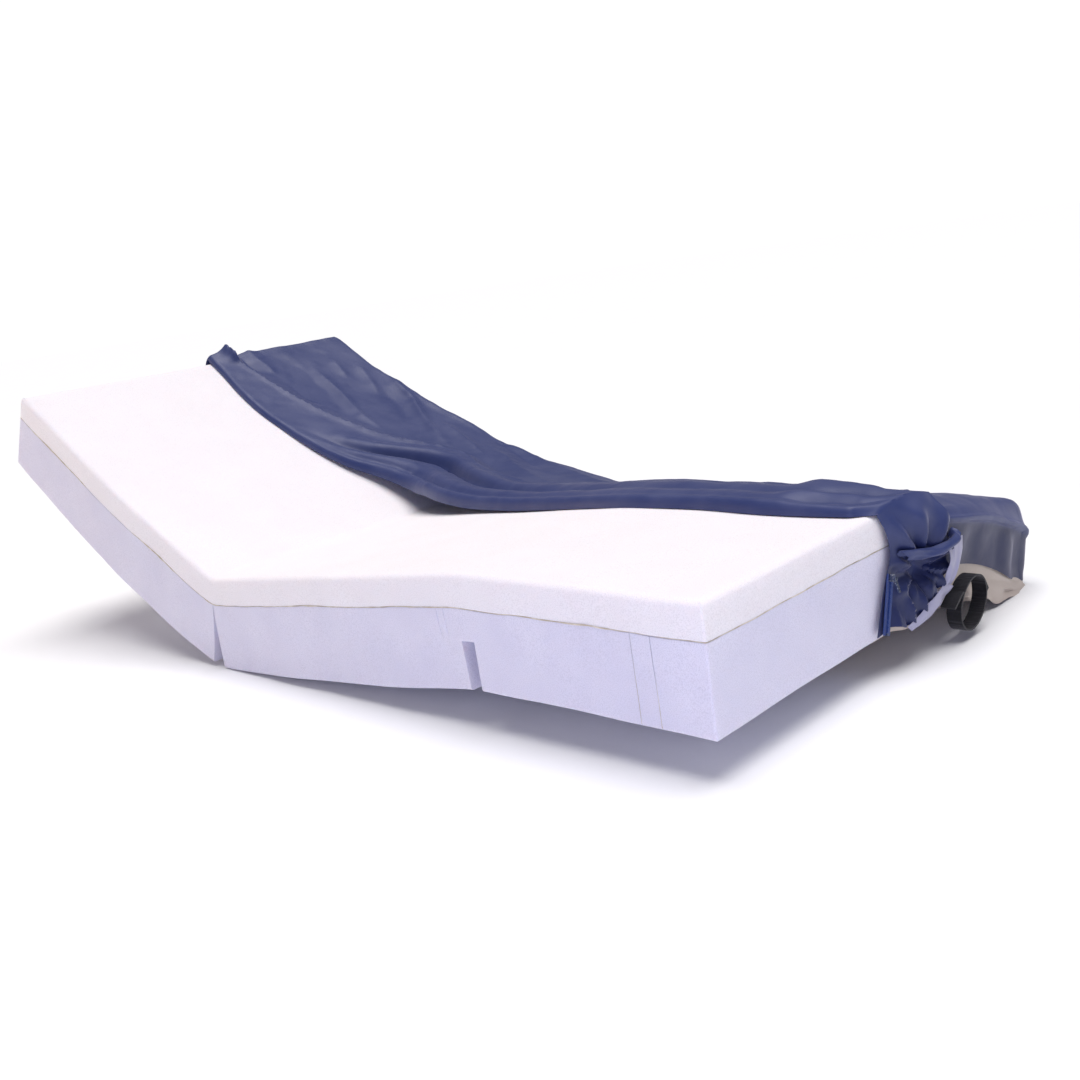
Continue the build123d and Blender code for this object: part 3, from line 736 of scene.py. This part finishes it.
def cover_rows(ss):
    """Grid of world points of the cover over the stations ss, with one column for each place across."""
    s = ss[:, None]
    edge = EDGE_LINE(s)
    under_y = edge + np.array(UNDER_FOLD)[None]
    under_h = TOP + CLOTH + 0.0004 + EDGE_LIFT(s) + 0.0004 * np.arange(N_UNDER)[None]
    radius = ROUNDING(s)
    far_top = FAR_TOP + 0.020 - radius
    far_part = edge + NEAR_REACH + FAR_PART[None] * (far_top - edge - NEAR_REACH)
    top_y = np.concatenate([edge + NEAR_PART[None], far_part], axis=1)
    lift = cover_lift(s, top_y)
    lift[:, 0] = CLOTH + 0.001 + EDGE_LIFT(ss)
    top_h = TOP + lift
    last = lift[:, -1:]
    turn_y = far_top + radius * np.sin(TURN)[None]
    turn_h = TOP + last - radius * (1 - np.cos(TURN))[None]
    wall_h = turn_h[:, -1:] + (-BASE + 0.004 - turn_h[:, -1:]) * WALL[None]
    fall = np.sin(math.pi * WALL)[None] ** 0.7
    wall_y = turn_y[:, -1:] + 0.0015 + fall * (0.003 + wall_ripple(s + 0 * wall_h, wall_h))
    tuck_y = wall_y[:, -1:] - np.array(TUCK)[None]
    tuck_h = np.full(tuck_y.shape, -BASE - TUCK_DROP)
    y = np.concatenate([under_y, top_y, turn_y, wall_y, tuck_y], axis=1)
    h = np.concatenate([under_h, top_h, turn_h, wall_h, tuck_h], axis=1)
    return raised_point(s + 0 * y, y, h)


def weave_spline(keys, counts):
    """Rows between key rows: a Catmull-Rom curve down each column, with a count of steps for each stretch."""
    keys = np.asarray(keys)
    ends = np.concatenate([2 * keys[:1] - keys[1:2], keys, 2 * keys[-1:] - keys[-2:-1]])
    rows = [keys[:1]]
    for i, count in enumerate(counts):
        p0, p1, p2, p3 = ends[i:i + 4]
        for t in np.arange(1, count + 1) / count:
            rows.append(0.5 * ((2 * p1) + (p2 - p0) * t + (2 * p0 - 5 * p1 + 4 * p2 - p3) * t**2
                               + (3 * p1 - p0 - 3 * p2 + p3) * t**3)[None])
    return np.concatenate(rows)


def end_point(y, h, out):
    """World points on the foot end, in the plane of the end face without its droop, moved out from it."""
    return core_point(FOOT + np.asarray(out), np.asarray(y), np.asarray(h), sag=0.0)


# The gathered cloth on the foot end, as across, level and distance out in millimetres. Each row runs from the
# zip to the far side of the gather, and the rows go down to the hem.
GATHER_NET = (
    ((-18, 54, 3), (12, 66, 8), (46, 70, 14), (78, 67, 22), (104, 60, 24)),
    ((-6, 22, 9), (22, 30, 24), (52, 34, 36), (84, 34, 44), (110, 30, 42)),
    ((-4, -12, 10), (28, -8, 24), (56, -12, 28), (86, -4, 42), (118, 0, 44)),
    ((-22, -42, 10), (24, -42, 16), (62, -50, 7), (94, -42, 26), (130, -34, 36)),
    ((-40, -74, 11), (2, -82, 20), (46, -86, 26), (84, -76, 31), (126, -62, 34)),
    ((-62, -119, 11), (-26, -110, 19), (20, -118, 25), (62, -104, 27), (106, -84, 31)),
)
PINCH = np.array([0.064, -0.048])
FOLD_ANGLES = (12, 58, 100, 128, 158, 200, 226, 250, 272, 294, 318, 344)
GATHER_EDGE = 0.112
ZIP_TOP, ZIP_BOTTOM = (-0.014, -0.038), (-0.044, -0.122)
WELT_LEVEL = along((0.09, 0.024), (0.19, 0.002), (0.30, -0.030), (0.39, -0.064), (0.444, -0.088))
WELT_OUT = along((0.08, 0.020), (0.12, 0.032), (0.19, 0.038), (0.30, 0.031), (0.39, 0.026), (0.444, 0.021))
BORDER_END = along((0.08, -0.070), (0.15, -0.074), (0.19, -0.080), (0.265, -0.101), (0.325, -0.127),
                   (0.40, -0.168), (0.444, -0.184))


def radial_folds(y, h):
    """Folds that run out from the pinch, from -1 to 1."""
    angle = np.degrees(np.arctan2(h - PINCH[1], y - PINCH[0])) % 360
    crests = np.array((FOLD_ANGLES[-1] - 360, *FOLD_ANGLES, FOLD_ANGLES[0] + 360), float)
    i = np.clip(np.searchsorted(crests, angle) - 1, 0, len(crests) - 2)
    share = (angle - crests[i]) / (crests[i + 1] - crests[i])
    wave = 0.5 + 0.5 * np.cos(2 * math.pi * share)
    reach = np.hypot(y - PINCH[0], h - PINCH[1])
    return (2 * wave**1.4 - 1) * np.clip(reach / 0.055, 0, 1) ** 0.8 * np.exp(-reach / 0.16)


def gather_rows(start):
    """The near part of the foot end: the cloth runs over the edge, into the pinch and out to the hem."""
    share = np.linspace(0, 1, len(start[0])) ** 0.85
    across = np.linspace(0, 1, 5)
    rows = []
    for row in GATHER_NET:
        y, h, out = (along(*zip(across, values))(share) / 1000 for values in zip(*row))
        rows.append(np.stack([y, h, out], axis=-1))
    net = weave_spline(rows, (9, 9, 9, 9, 9))
    y, h, out = np.moveaxis(net, -1, 0)
    calm = smoothstep((share[None] - 0.03) / 0.16) * smoothstep((0.064 - h) / 0.03)
    below = smoothstep((PINCH[1] - 0.004 - h) / 0.030)
    upright = np.sin((y + 0.25 * (h - PINCH[1])) * 2 * math.pi / 0.031 + 0.8)
    upright = upright + 0.5 * np.sin(y * 2 * math.pi / 0.0173 + 2.0)
    out = out + calm * (0.010 * (1 - 0.85 * below) * radial_folds(y, h) + 0.0042 * below * upright)
    out = out - 0.012 * np.exp(-(np.hypot(y - PINCH[0], h - PINCH[1]) / 0.014) ** 2)
    hem = np.clip((-h - 0.080) / 0.040, 0, 1) ** 2
    h = h + hem * 0.006 * noise_along(y, 0.022, 71)
    zip_line = ZIP_TOP[0] + (ZIP_BOTTOM[0] - ZIP_TOP[0]) * (h - ZIP_TOP[1]) / (ZIP_BOTTOM[1] - ZIP_TOP[1])
    room = 0.0095 + 1.2 * np.maximum(y - zip_line - 0.012, 0.0) + 0.05 * smoothstep((h + 0.030) / 0.02)
    out = np.clip(out, 0.0035, room)
    body = end_point(y, h, out)
    return weave_spline(np.concatenate([start[-2:], body[:1]]), (1, 6))[2:], body[1:]


def border_rows(start, y):
    """The far part of the foot end: the top sags over the edge to its welt, and the border hangs below."""
    y = y - 0.030 * smoothstep((0.23 - y) / 0.12)
    welt, out, end = WELT_LEVEL(y), WELT_OUT(y), BORDER_END(y)
    wobble = 0.003 * noise_along(y, 0.035, 81)
    folds = 0.006 * noise_along(y, 0.045, 83)
    depth = welt - end
    keys = [start[-2], start[-1], core_point(FOOT + 0.005, y, TOP - 0.001 + wobble),
            end_point(y, welt + 0.016 + wobble, out * 0.72),
            end_point(y, welt + 0.005 + wobble, out - 0.001),
            end_point(y, welt + wobble, out + 0.006),
            end_point(y, welt - 0.008 + wobble, out + 0.003),
            end_point(y, welt - 0.011, out - 0.003),
            end_point(y, welt - 0.4 * depth, 0.7 * out + folds),
            end_point(y, welt - 0.75 * depth, 0.45 * out + folds),
            end_point(y, end, 0.010 + 0.4 * folds)]
    return weave_spline(keys, (1, 5, 6, 3, 3, 3, 2, 6, 6, 5))[2:]


def head_rows(start, y, lift):
    """The cloth turned down over the head end."""
    folds = 0.004 * noise_along(y, 0.040, 91)
    keys = []
    for out, h in ((0.004, TOP + 0.001), (0.011, TOP - 0.010), (0.009, 0.010), (0.006, -0.050),
                   (0.005, -BASE + 0.006), (-0.010, -BASE - 0.0034), (-0.030, -BASE - 0.0036)):
        stand = folds * smoothstep((TOP - h) / 0.06) * smoothstep((h + BASE) / 0.02)
        high = np.where(h > 0.02, lift, 0.0)
        keys.append(raised_point(-BACK - out - np.maximum(stand, -0.003), y, h + high * (h > TOP - 0.02)))
    return weave_spline(np.concatenate([start[:2][::-1], np.stack(keys)]), (1, 3, 4, 6, 6, 6, 3, 3))[2:]


def grid_faces(rows, columns):
    index = np.arange(rows * columns).reshape(rows, columns)
    quads = [index[:-1, :-1], index[1:, :-1], index[1:, 1:], index[:-1, 1:]]
    return np.stack(quads, axis=-1).reshape(-1, 4)


def weld(parts, spare=None):
    """Joins grids of points into one set of vertices and quads, merging those that coincide. The third result
    marks the quads to keep: all but those of the first grid's spare row, which only steadies the shading."""
    points, faces, kept, base = [], [], [], 0
    for grid, flip in parts:
        quads = grid_faces(*grid.shape[:2]) + base
        faces.append(quads[:, ::-1] if flip else quads)
        kept.append(np.ones(len(quads), bool))
        points.append(grid.reshape(-1, 3))
        base += len(points[-1])
    if spare is not None:
        row = parts[0][0].shape[1] - 1
        kept[0][spare * row:(spare + 1) * row or None] = False
    points, faces, kept = np.concatenate(points), np.concatenate(faces), np.concatenate(kept)
    _, first, same = np.unique(np.round(points, 6), axis=0, return_index=True, return_inverse=True)
    faces = same.ravel()[faces]
    proper = np.array([len(set(face)) == 4 for face in faces])
    return points[first], faces[proper], kept[proper]


def sheet_piece(name, points, faces, material, kept=None, thickness=CLOTH):
    """A cloth sheet with its thickness on the side towards the foam. Its rim is shaded apart, so that two
    lengths of one sheet meet without a line."""
    piece = make_mesh(name, points, faces, material, kept)
    mesh = piece.data
    edges = np.zeros(len(mesh.loops), int)
    mesh.loops.foreach_get("edge_index", edges)
    for edge in np.flatnonzero(np.bincount(edges, minlength=len(mesh.edges)) == 1):
        mesh.edges[int(edge)].use_edge_sharp = True
    thicken = piece.modifiers.new("thickness", "SOLIDIFY")
    thicken.thickness, thicken.offset, thicken.use_even_offset = thickness, -1.0, False
    return piece


def evenly(line, count):
    """The given count of points spaced evenly along a line of points."""
    far = np.concatenate([[0], np.cumsum(np.linalg.norm(np.diff(line, axis=0), axis=1))])
    at = np.linspace(0, far[-1], count)
    return np.stack([np.interp(at, far, line[:, k]) for k in range(3)], axis=-1)


def corner_patch(top, left, right, push):
    """Cloth round a hanging corner, below the row of points top and between the edges left and right."""
    count = 34
    left, right = evenly(left, count), evenly(right, count)
    far = np.concatenate([[0], np.cumsum(np.linalg.norm(np.diff(top, axis=0), axis=1))])
    t = (far / far[-1])[None, :, None]
    v = np.linspace(0, 1, count)[:, None, None]
    between = left[:, None] * (1 - t) + right[:, None] * t
    above = top[None] - (left[:1, None] * (1 - t) + right[:1, None] * t)
    return between + above * (1 - v) ** 5 + np.array(push) * 4 * t * (1 - t) * smoothstep(v / 0.12)


def build_cover():
    """The top sheet in two lengths that meet over the thigh, each with its sides turned down."""
    last_top = N_UNDER + N_TOP - 1
    turned = slice(last_top, last_top + len(TURN) + 1)
    hanging = slice(last_top + len(TURN), None)
    stations = np.arange(-BACK + 0.006, MID_THIGH - ROW_STEP / 2, ROW_STEP)
    stations = np.concatenate([stations, [MID_THIGH, MID_THIGH + ROW_STEP]])
    rows = cover_rows(stations)
    start = rows[:, N_UNDER:N_UNDER + N_TOP]
    across = start[0, :, 1] - MIDDLE_Y
    head = head_rows(start, across, cover_lift(np.full(across.shape, stations[0]), across))
    head = np.concatenate([start[:1], head])
    corner = corner_patch(rows[0, turned], head[:, -1], rows[0, hanging], (-0.010, 0.013, -0.004))
    points, faces, kept = weld([(rows, False), (head, True), (corner, True)], -1)
    piece = sheet_piece("cover_top_head_half", points, faces, NAVY, kept)
    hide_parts("cover_back_top_panel", "cover_back_edge_roll", "cover_back_side_wall",
                "cover_head_end_wall", "cover_head_fold", "cover_thigh_top_panel", "cover_thigh_edge_roll",
                "cover_thigh_side_wall")
    bend_across(piece, "hip_bend")

    brink = FOOT - BRINK
    stations = np.arange(MID_THIGH, brink - ROW_STEP / 2, ROW_STEP)
    stations = np.concatenate([[MID_THIGH - ROW_STEP], stations, [brink]])
    rows = cover_rows(stations)
    start = rows[:, N_UNDER:N_UNDER + N_TOP]
    across = start[-1, :, 1] - MIDDLE_Y
    split = int(np.searchsorted(across, GATHER_EDGE))
    neck, gather = gather_rows(start[:, :split + 1])
    border = border_rows(start[:, split:], across[split:])
    near = np.concatenate([start[-1:, :split + 1], neck, gather])
    far = np.concatenate([start[-1:, split:], border])
    corner = corner_patch(rows[-1, turned], far[:, -1], rows[-1, hanging], (0.013, 0.016, 0.0))
    points, faces, kept = weld([(rows, False), (near, False), (far, False), (corner, False)], 0)
    piece = sheet_piece("cover_top_foot_half", points, faces, NAVY, kept)
    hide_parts("cover_leg_top_panel", "cover_leg_edge_roll", "cover_leg_side_wall",
                "cover_foot_gathered_wall", "cover_foot_overhang", "cover_foot_welt", "cover_foot_border")
    paint_end_shade(piece)
    bend_across(piece, "knee_bend")


def paint_end_shade(piece):
    """Marks painted shade on the cloth that hangs on the foot end: how much darker than the top sheet it is
    drawn, below the welt on the far part and low on the gather.
    """
    points = np.zeros(3 * len(piece.data.vertices))
    piece.data.vertices.foreach_get("co", points)
    lean = math.radians(LEG_SLOPE)
    away = points.reshape(-1, 3) - end_point(0.0, 0.0, 0.0)
    out = away @ np.array([math.cos(lean), 0.0, math.sin(lean)])
    h = away @ np.array([-math.sin(lean), 0.0, math.cos(lean)])
    y = away[:, 1]
    border = smoothstep((WELT_LEVEL(y) - 0.002 - h) / 0.016)
    gather = 0.75 * smoothstep((0.050 - h) / 0.090)
    far = smoothstep((y - 0.110) / 0.030)
    # painted shade: hanging faces darken below the welt and towards the bottom of the gather
    shade = smoothstep((out - 0.002) / 0.006) * (border * far + gather * (1 - far))
    mark = piece.data.attributes.new("shade", "FLOAT", "POINT")
    mark.data.foreach_set("value", shade)


BASE_NEAR, BASE_FAR = -0.060, 0.4165


def build_base_sheet():
    """The backing under the far half, in two lengths that meet under the thigh."""
    across = np.append(np.arange(BASE_NEAR, BASE_FAR - 0.006, 0.016), BASE_FAR)
    for name, s0, s1, joint, over, hidden in (
            ("base_sheet_head_half", -BACK + 0.002, MID_THIGH, "hip_bend",
             ["base_foam_back", "base_foam_thigh"], ["cover_back_base_panel", "cover_thigh_base_panel"]),
            ("base_sheet_foot_half", MID_THIGH, FOOT - 0.004, "knee_bend", ["base_foam_leg"],
             ["cover_leg_base_panel"])):
        s = np.append(np.arange(s0, s1 - 0.004, 0.010), s1)[:, None]
        sag = 0.0009 * (1 + value_noise(np.stack(np.broadcast_arrays(s, across[None]), -1), 0.09, 95))
        hem = np.exp(-(across[None] - BASE_NEAR) / 0.006)
        grid = core_point(s + 0 * sag, across[None] + 0 * sag, -BASE - 0.0018 - sag * (1 - hem))
        points, faces, _ = weld([(grid, True)])
        piece = sheet_piece(name, points, faces, BASE_FABRIC, thickness=0.001)
        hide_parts(*hidden)
        bend_across(piece, joint)


def strip_grid(upper, lower, puff, across, along_count, wave, seed):
    """A strip of cloth on the foot end between two edges, whose points give across, level and out in mm."""
    share = np.linspace(0, 1, along_count)
    edges = []
    for edge in (upper, lower):
        places = np.linspace(0, 1, len(edge))
        edges.append(np.stack([along(*zip(places, values))(share) for values in zip(*edge)], -1) / 1000)
    t = np.linspace(0, 1, across)[:, None, None]
    grid = edges[0][None] * (1 - t) + edges[1][None] * t
    grid[..., 2] += (puff * 4 * t * (1 - t))[..., 0]
    spots = np.stack(np.broadcast_arrays(share[None], t[..., 0] * 0.4), -1)
    grid[..., 2] += wave * value_noise(spots, 0.16, seed)
    return grid


def foot_piece(name, grids, material, hidden=()):
    """A sheet on the foot end that goes with the leg section."""
    points, faces, _ = weld([(end_point(*np.moveaxis(grid, -1, 0)), False) for grid in grids])
    piece = sheet_piece(name, points, faces, material, thickness=0.0011)
    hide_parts(*hidden)
    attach(piece, "leg")


FLAP_TOP = along((0.130, -0.068), (0.19, -0.074), (0.265, -0.094), (0.325, -0.120), (0.40, -0.160),
                 (0.43, -0.172))
FLAP_END = along((0.130, -0.122), (0.165, -0.133), (0.217, -0.146), (0.257, -0.160), (0.282, -0.166),
                 (0.306, -0.176), (0.345, -0.181), (0.40, -0.194), (0.43, -0.198))


def build_foot_details():
    """The twisted band across the pinch, the pale linings and hems, and the backing that hangs at the foot."""
    band = strip_grid(
        ((10, -6, 21), (34, -9, 32), (66, -14, 41), (96, -12, 49), (121, -8, 50), (134, -2, 44)),
        ((22, -24, 20), (48, -30, 29), (74, -31, 39), (100, -32, 46), (121, -28, 49), (136, -14, 45)),
        0.008, 11, 44, 0.004, 101)
    behind = band[:1] * np.ones((4, 1, 1))
    behind[..., 2] -= np.array([0.009, 0.006, 0.003, 0.0])[:, None]
    behind[..., 1] -= np.array([0.010, 0.005, 0.001, 0.0])[:, None]
    below = band[-1:] * np.ones((4, 1, 1))
    below[..., 2] -= np.array([0.0, 0.003, 0.006, 0.009])[:, None]
    below[..., 1] += np.array([0.0, 0.001, 0.005, 0.009])[:, None]
    foot_piece("pinch_band", [np.concatenate([behind[:-1], band, below[1:]])], NAVY,
               ["cover_foot_pinch_band"])
    foot_piece("pale_lining", [strip_grid(
        ((116, -22, 42), (138, -20, 40), (160, -22, 38), (182, -28, 34)),
        ((108, -84, 33), (116, -92, 33), (126, -92, 33), (136, -84, 33)), 0.004, 12, 26, 0.004, 103)],
        PALE_HEM)
    foot_piece("pale_hem", [strip_grid(
        ((0, -119, 23), (28, -111, 26), (57, -101, 29), (84, -91, 32), (108, -82, 34)),
        ((8, -128, 23), (34, -126, 26), (66, -120, 29), (98, -108, 32), (130, -95, 34)),
        0.003, 6, 44, 0.003, 105)],
        PALE_HEM)
    foot_piece("backing_tail", [strip_grid(
        ((-24, -98, 5), (0, -100, 7), (34, -104, 9), (66, -102, 12), (92, -98, 14)),
        ((-31, -120, 6), (-6, -124, 9), (24, -130, 12), (56, -128, 14), (90, -124, 16)),
        0.003, 8, 44, 0.004, 107)],
        BASE_FABRIC)
    y = np.linspace(0.130, 0.430, 60)
    share = np.linspace(0, 1, 14)[:, None]
    wave = 0.004 * noise_along(y, 0.030, 109)
    level = FLAP_TOP(y) * (1 - share) + (FLAP_END(y) + wave) * share
    out = 0.0080 + 0.012 * share**1.5 + 0.004 * share * value_noise(
        np.stack(np.broadcast_arrays(y[None], 0.3 * share), -1), 0.04, 111)
    flap = np.stack([y[None] + 0 * level, level, out], -1)
    foot_piece("backing_flap", [flap], BASE_FABRIC,
               ["cover_foot_base_flap"])


def dress_hardware():
    """Materials for the zip and the handle, which keep the shapes of the exact model."""
    for material, starts in ((ZIP_TAPE, ("zip_near_tape", "zip_far_tape")),
                             (ZIP_TEETH, ("zip_near_teeth", "zip_far_teeth")),
                             (ZIP_METAL, ("zip_end_stop", "zip_slider", "zip_pull")), (WEBBING, "handle_")):
        for node in bpy.data.objects:
            if node.type == "MESH" and node.name.startswith(starts):
                node.data.materials.clear()
                node.data.materials.append(material)


build_cover()
build_base_sheet()
build_foot_details()
dress_hardware()


# ---------------------------------------------------------------- floor, lights and camera
def build_stage():
    """A pale floor, and a world that lights softly but looks as white as the floor."""
    mesh = bpy.data.meshes.new("studio_floor")
    size = 60.0
    corners = [(-size, -size, 0), (size, -size, 0), (size, size, 0), (-size, size, 0)]
    mesh.from_pydata(corners, [], [(0, 1, 2, 3)])
    floor = bpy.data.objects.new("studio_floor", mesh)
    bpy.context.scene.collection.objects.link(floor)
    floor.location.z = cad_box[0][2] - 0.001
    mesh.materials.append(floor_material())
    world = bpy.data.worlds.new("studio")
    bpy.context.scene.world = world
    world.use_nodes = True
    tree = world.node_tree
    sky = tree.nodes["Background"]
    sky.inputs["Color"].default_value = (0.94, 0.93, 1.0, 1.0)
    sky.inputs["Strength"].default_value = 0.15
    backdrop = tree.nodes.new("ShaderNodeBackground")
    backdrop.inputs["Color"].default_value = (1.0, 1.0, 1.0, 1.0)
    backdrop.inputs["Strength"].default_value = 1.05
    rays, mix = tree.nodes.new("ShaderNodeLightPath"), tree.nodes.new("ShaderNodeMixShader")
    tree.links.new(rays.outputs["Is Camera Ray"], mix.inputs[0])
    tree.links.new(sky.outputs[0], mix.inputs[1])
    tree.links.new(backdrop.outputs[0], mix.inputs[2])
    tree.links.new(mix.outputs[0], tree.nodes["World Output"].inputs["Surface"])


def lamp(kind, name, place, towards, strength, colour, **settings):
    """A light at a place, aimed at another. The settings are those of its own kind."""
    light = bpy.data.lights.new(name, kind)
    light.energy, light.color = strength, colour
    for key, val in settings.items():
        setattr(light, key, val)
    holder = bpy.data.objects.new(name, light)
    bpy.context.scene.collection.objects.link(holder)
    holder.location = place
    holder.rotation_euler = (Vector(towards) - Vector(place)).to_track_quat("-Z", "Y").to_euler()


def build_lights():
    """A broad soft light overhead, with a warm fill at the head end and a cool one at the foot end."""
    lamp("SUN", "overhead", (0.4, 0.3, 4.0), (0.0, 0.0, 0.0), 3.1, (1.0, 0.965, 0.975), angle=math.radians(55))
    lamp("AREA", "warm_fill", (-2.4, -1.9, 0.55), (-0.5, -0.4, 0.2), 11.0, (1.0, 0.72, 0.56), size=1.2)
    lamp("AREA", "cool_fill", (2.1, -2.3, 0.50), (0.8, -0.3, 0.12), 20.0, (0.60, 0.60, 1.0), size=1.2)


def build_camera():
    """The camera stands low beside the foot end and looks up the length of the mattress, a little rolled."""
    yaw, pitch, roll = math.radians(134.69), math.radians(7.708), math.radians(-8.557)
    forward = Vector((math.cos(yaw) * math.cos(pitch), math.sin(yaw) * math.cos(pitch), -math.sin(pitch)))
    right = Vector((math.sin(yaw), -math.cos(yaw), 0.0))
    up = right.cross(forward)
    level_right = math.cos(roll) * right + math.sin(roll) * up
    level_up = -math.sin(roll) * right + math.cos(roll) * up
    data = bpy.data.cameras.new("camera")
    data.sensor_width, data.lens = 36.0, 40.26
    data.shift_x, data.shift_y = -0.0185, -0.1019
    camera = bpy.data.objects.new("camera", data)
    bpy.context.scene.collection.objects.link(camera)
    turn = Matrix((level_right, level_up, -forward)).transposed()
    camera.matrix_world = Matrix.Translation(Vector(HIP) + Vector((2.0703, -1.5378, 0.5343))) @ turn.to_4x4()
    bpy.context.scene.camera = camera


build_stage()
build_lights()
build_camera()
bpy.context.scene.view_settings.view_transform = "Standard"
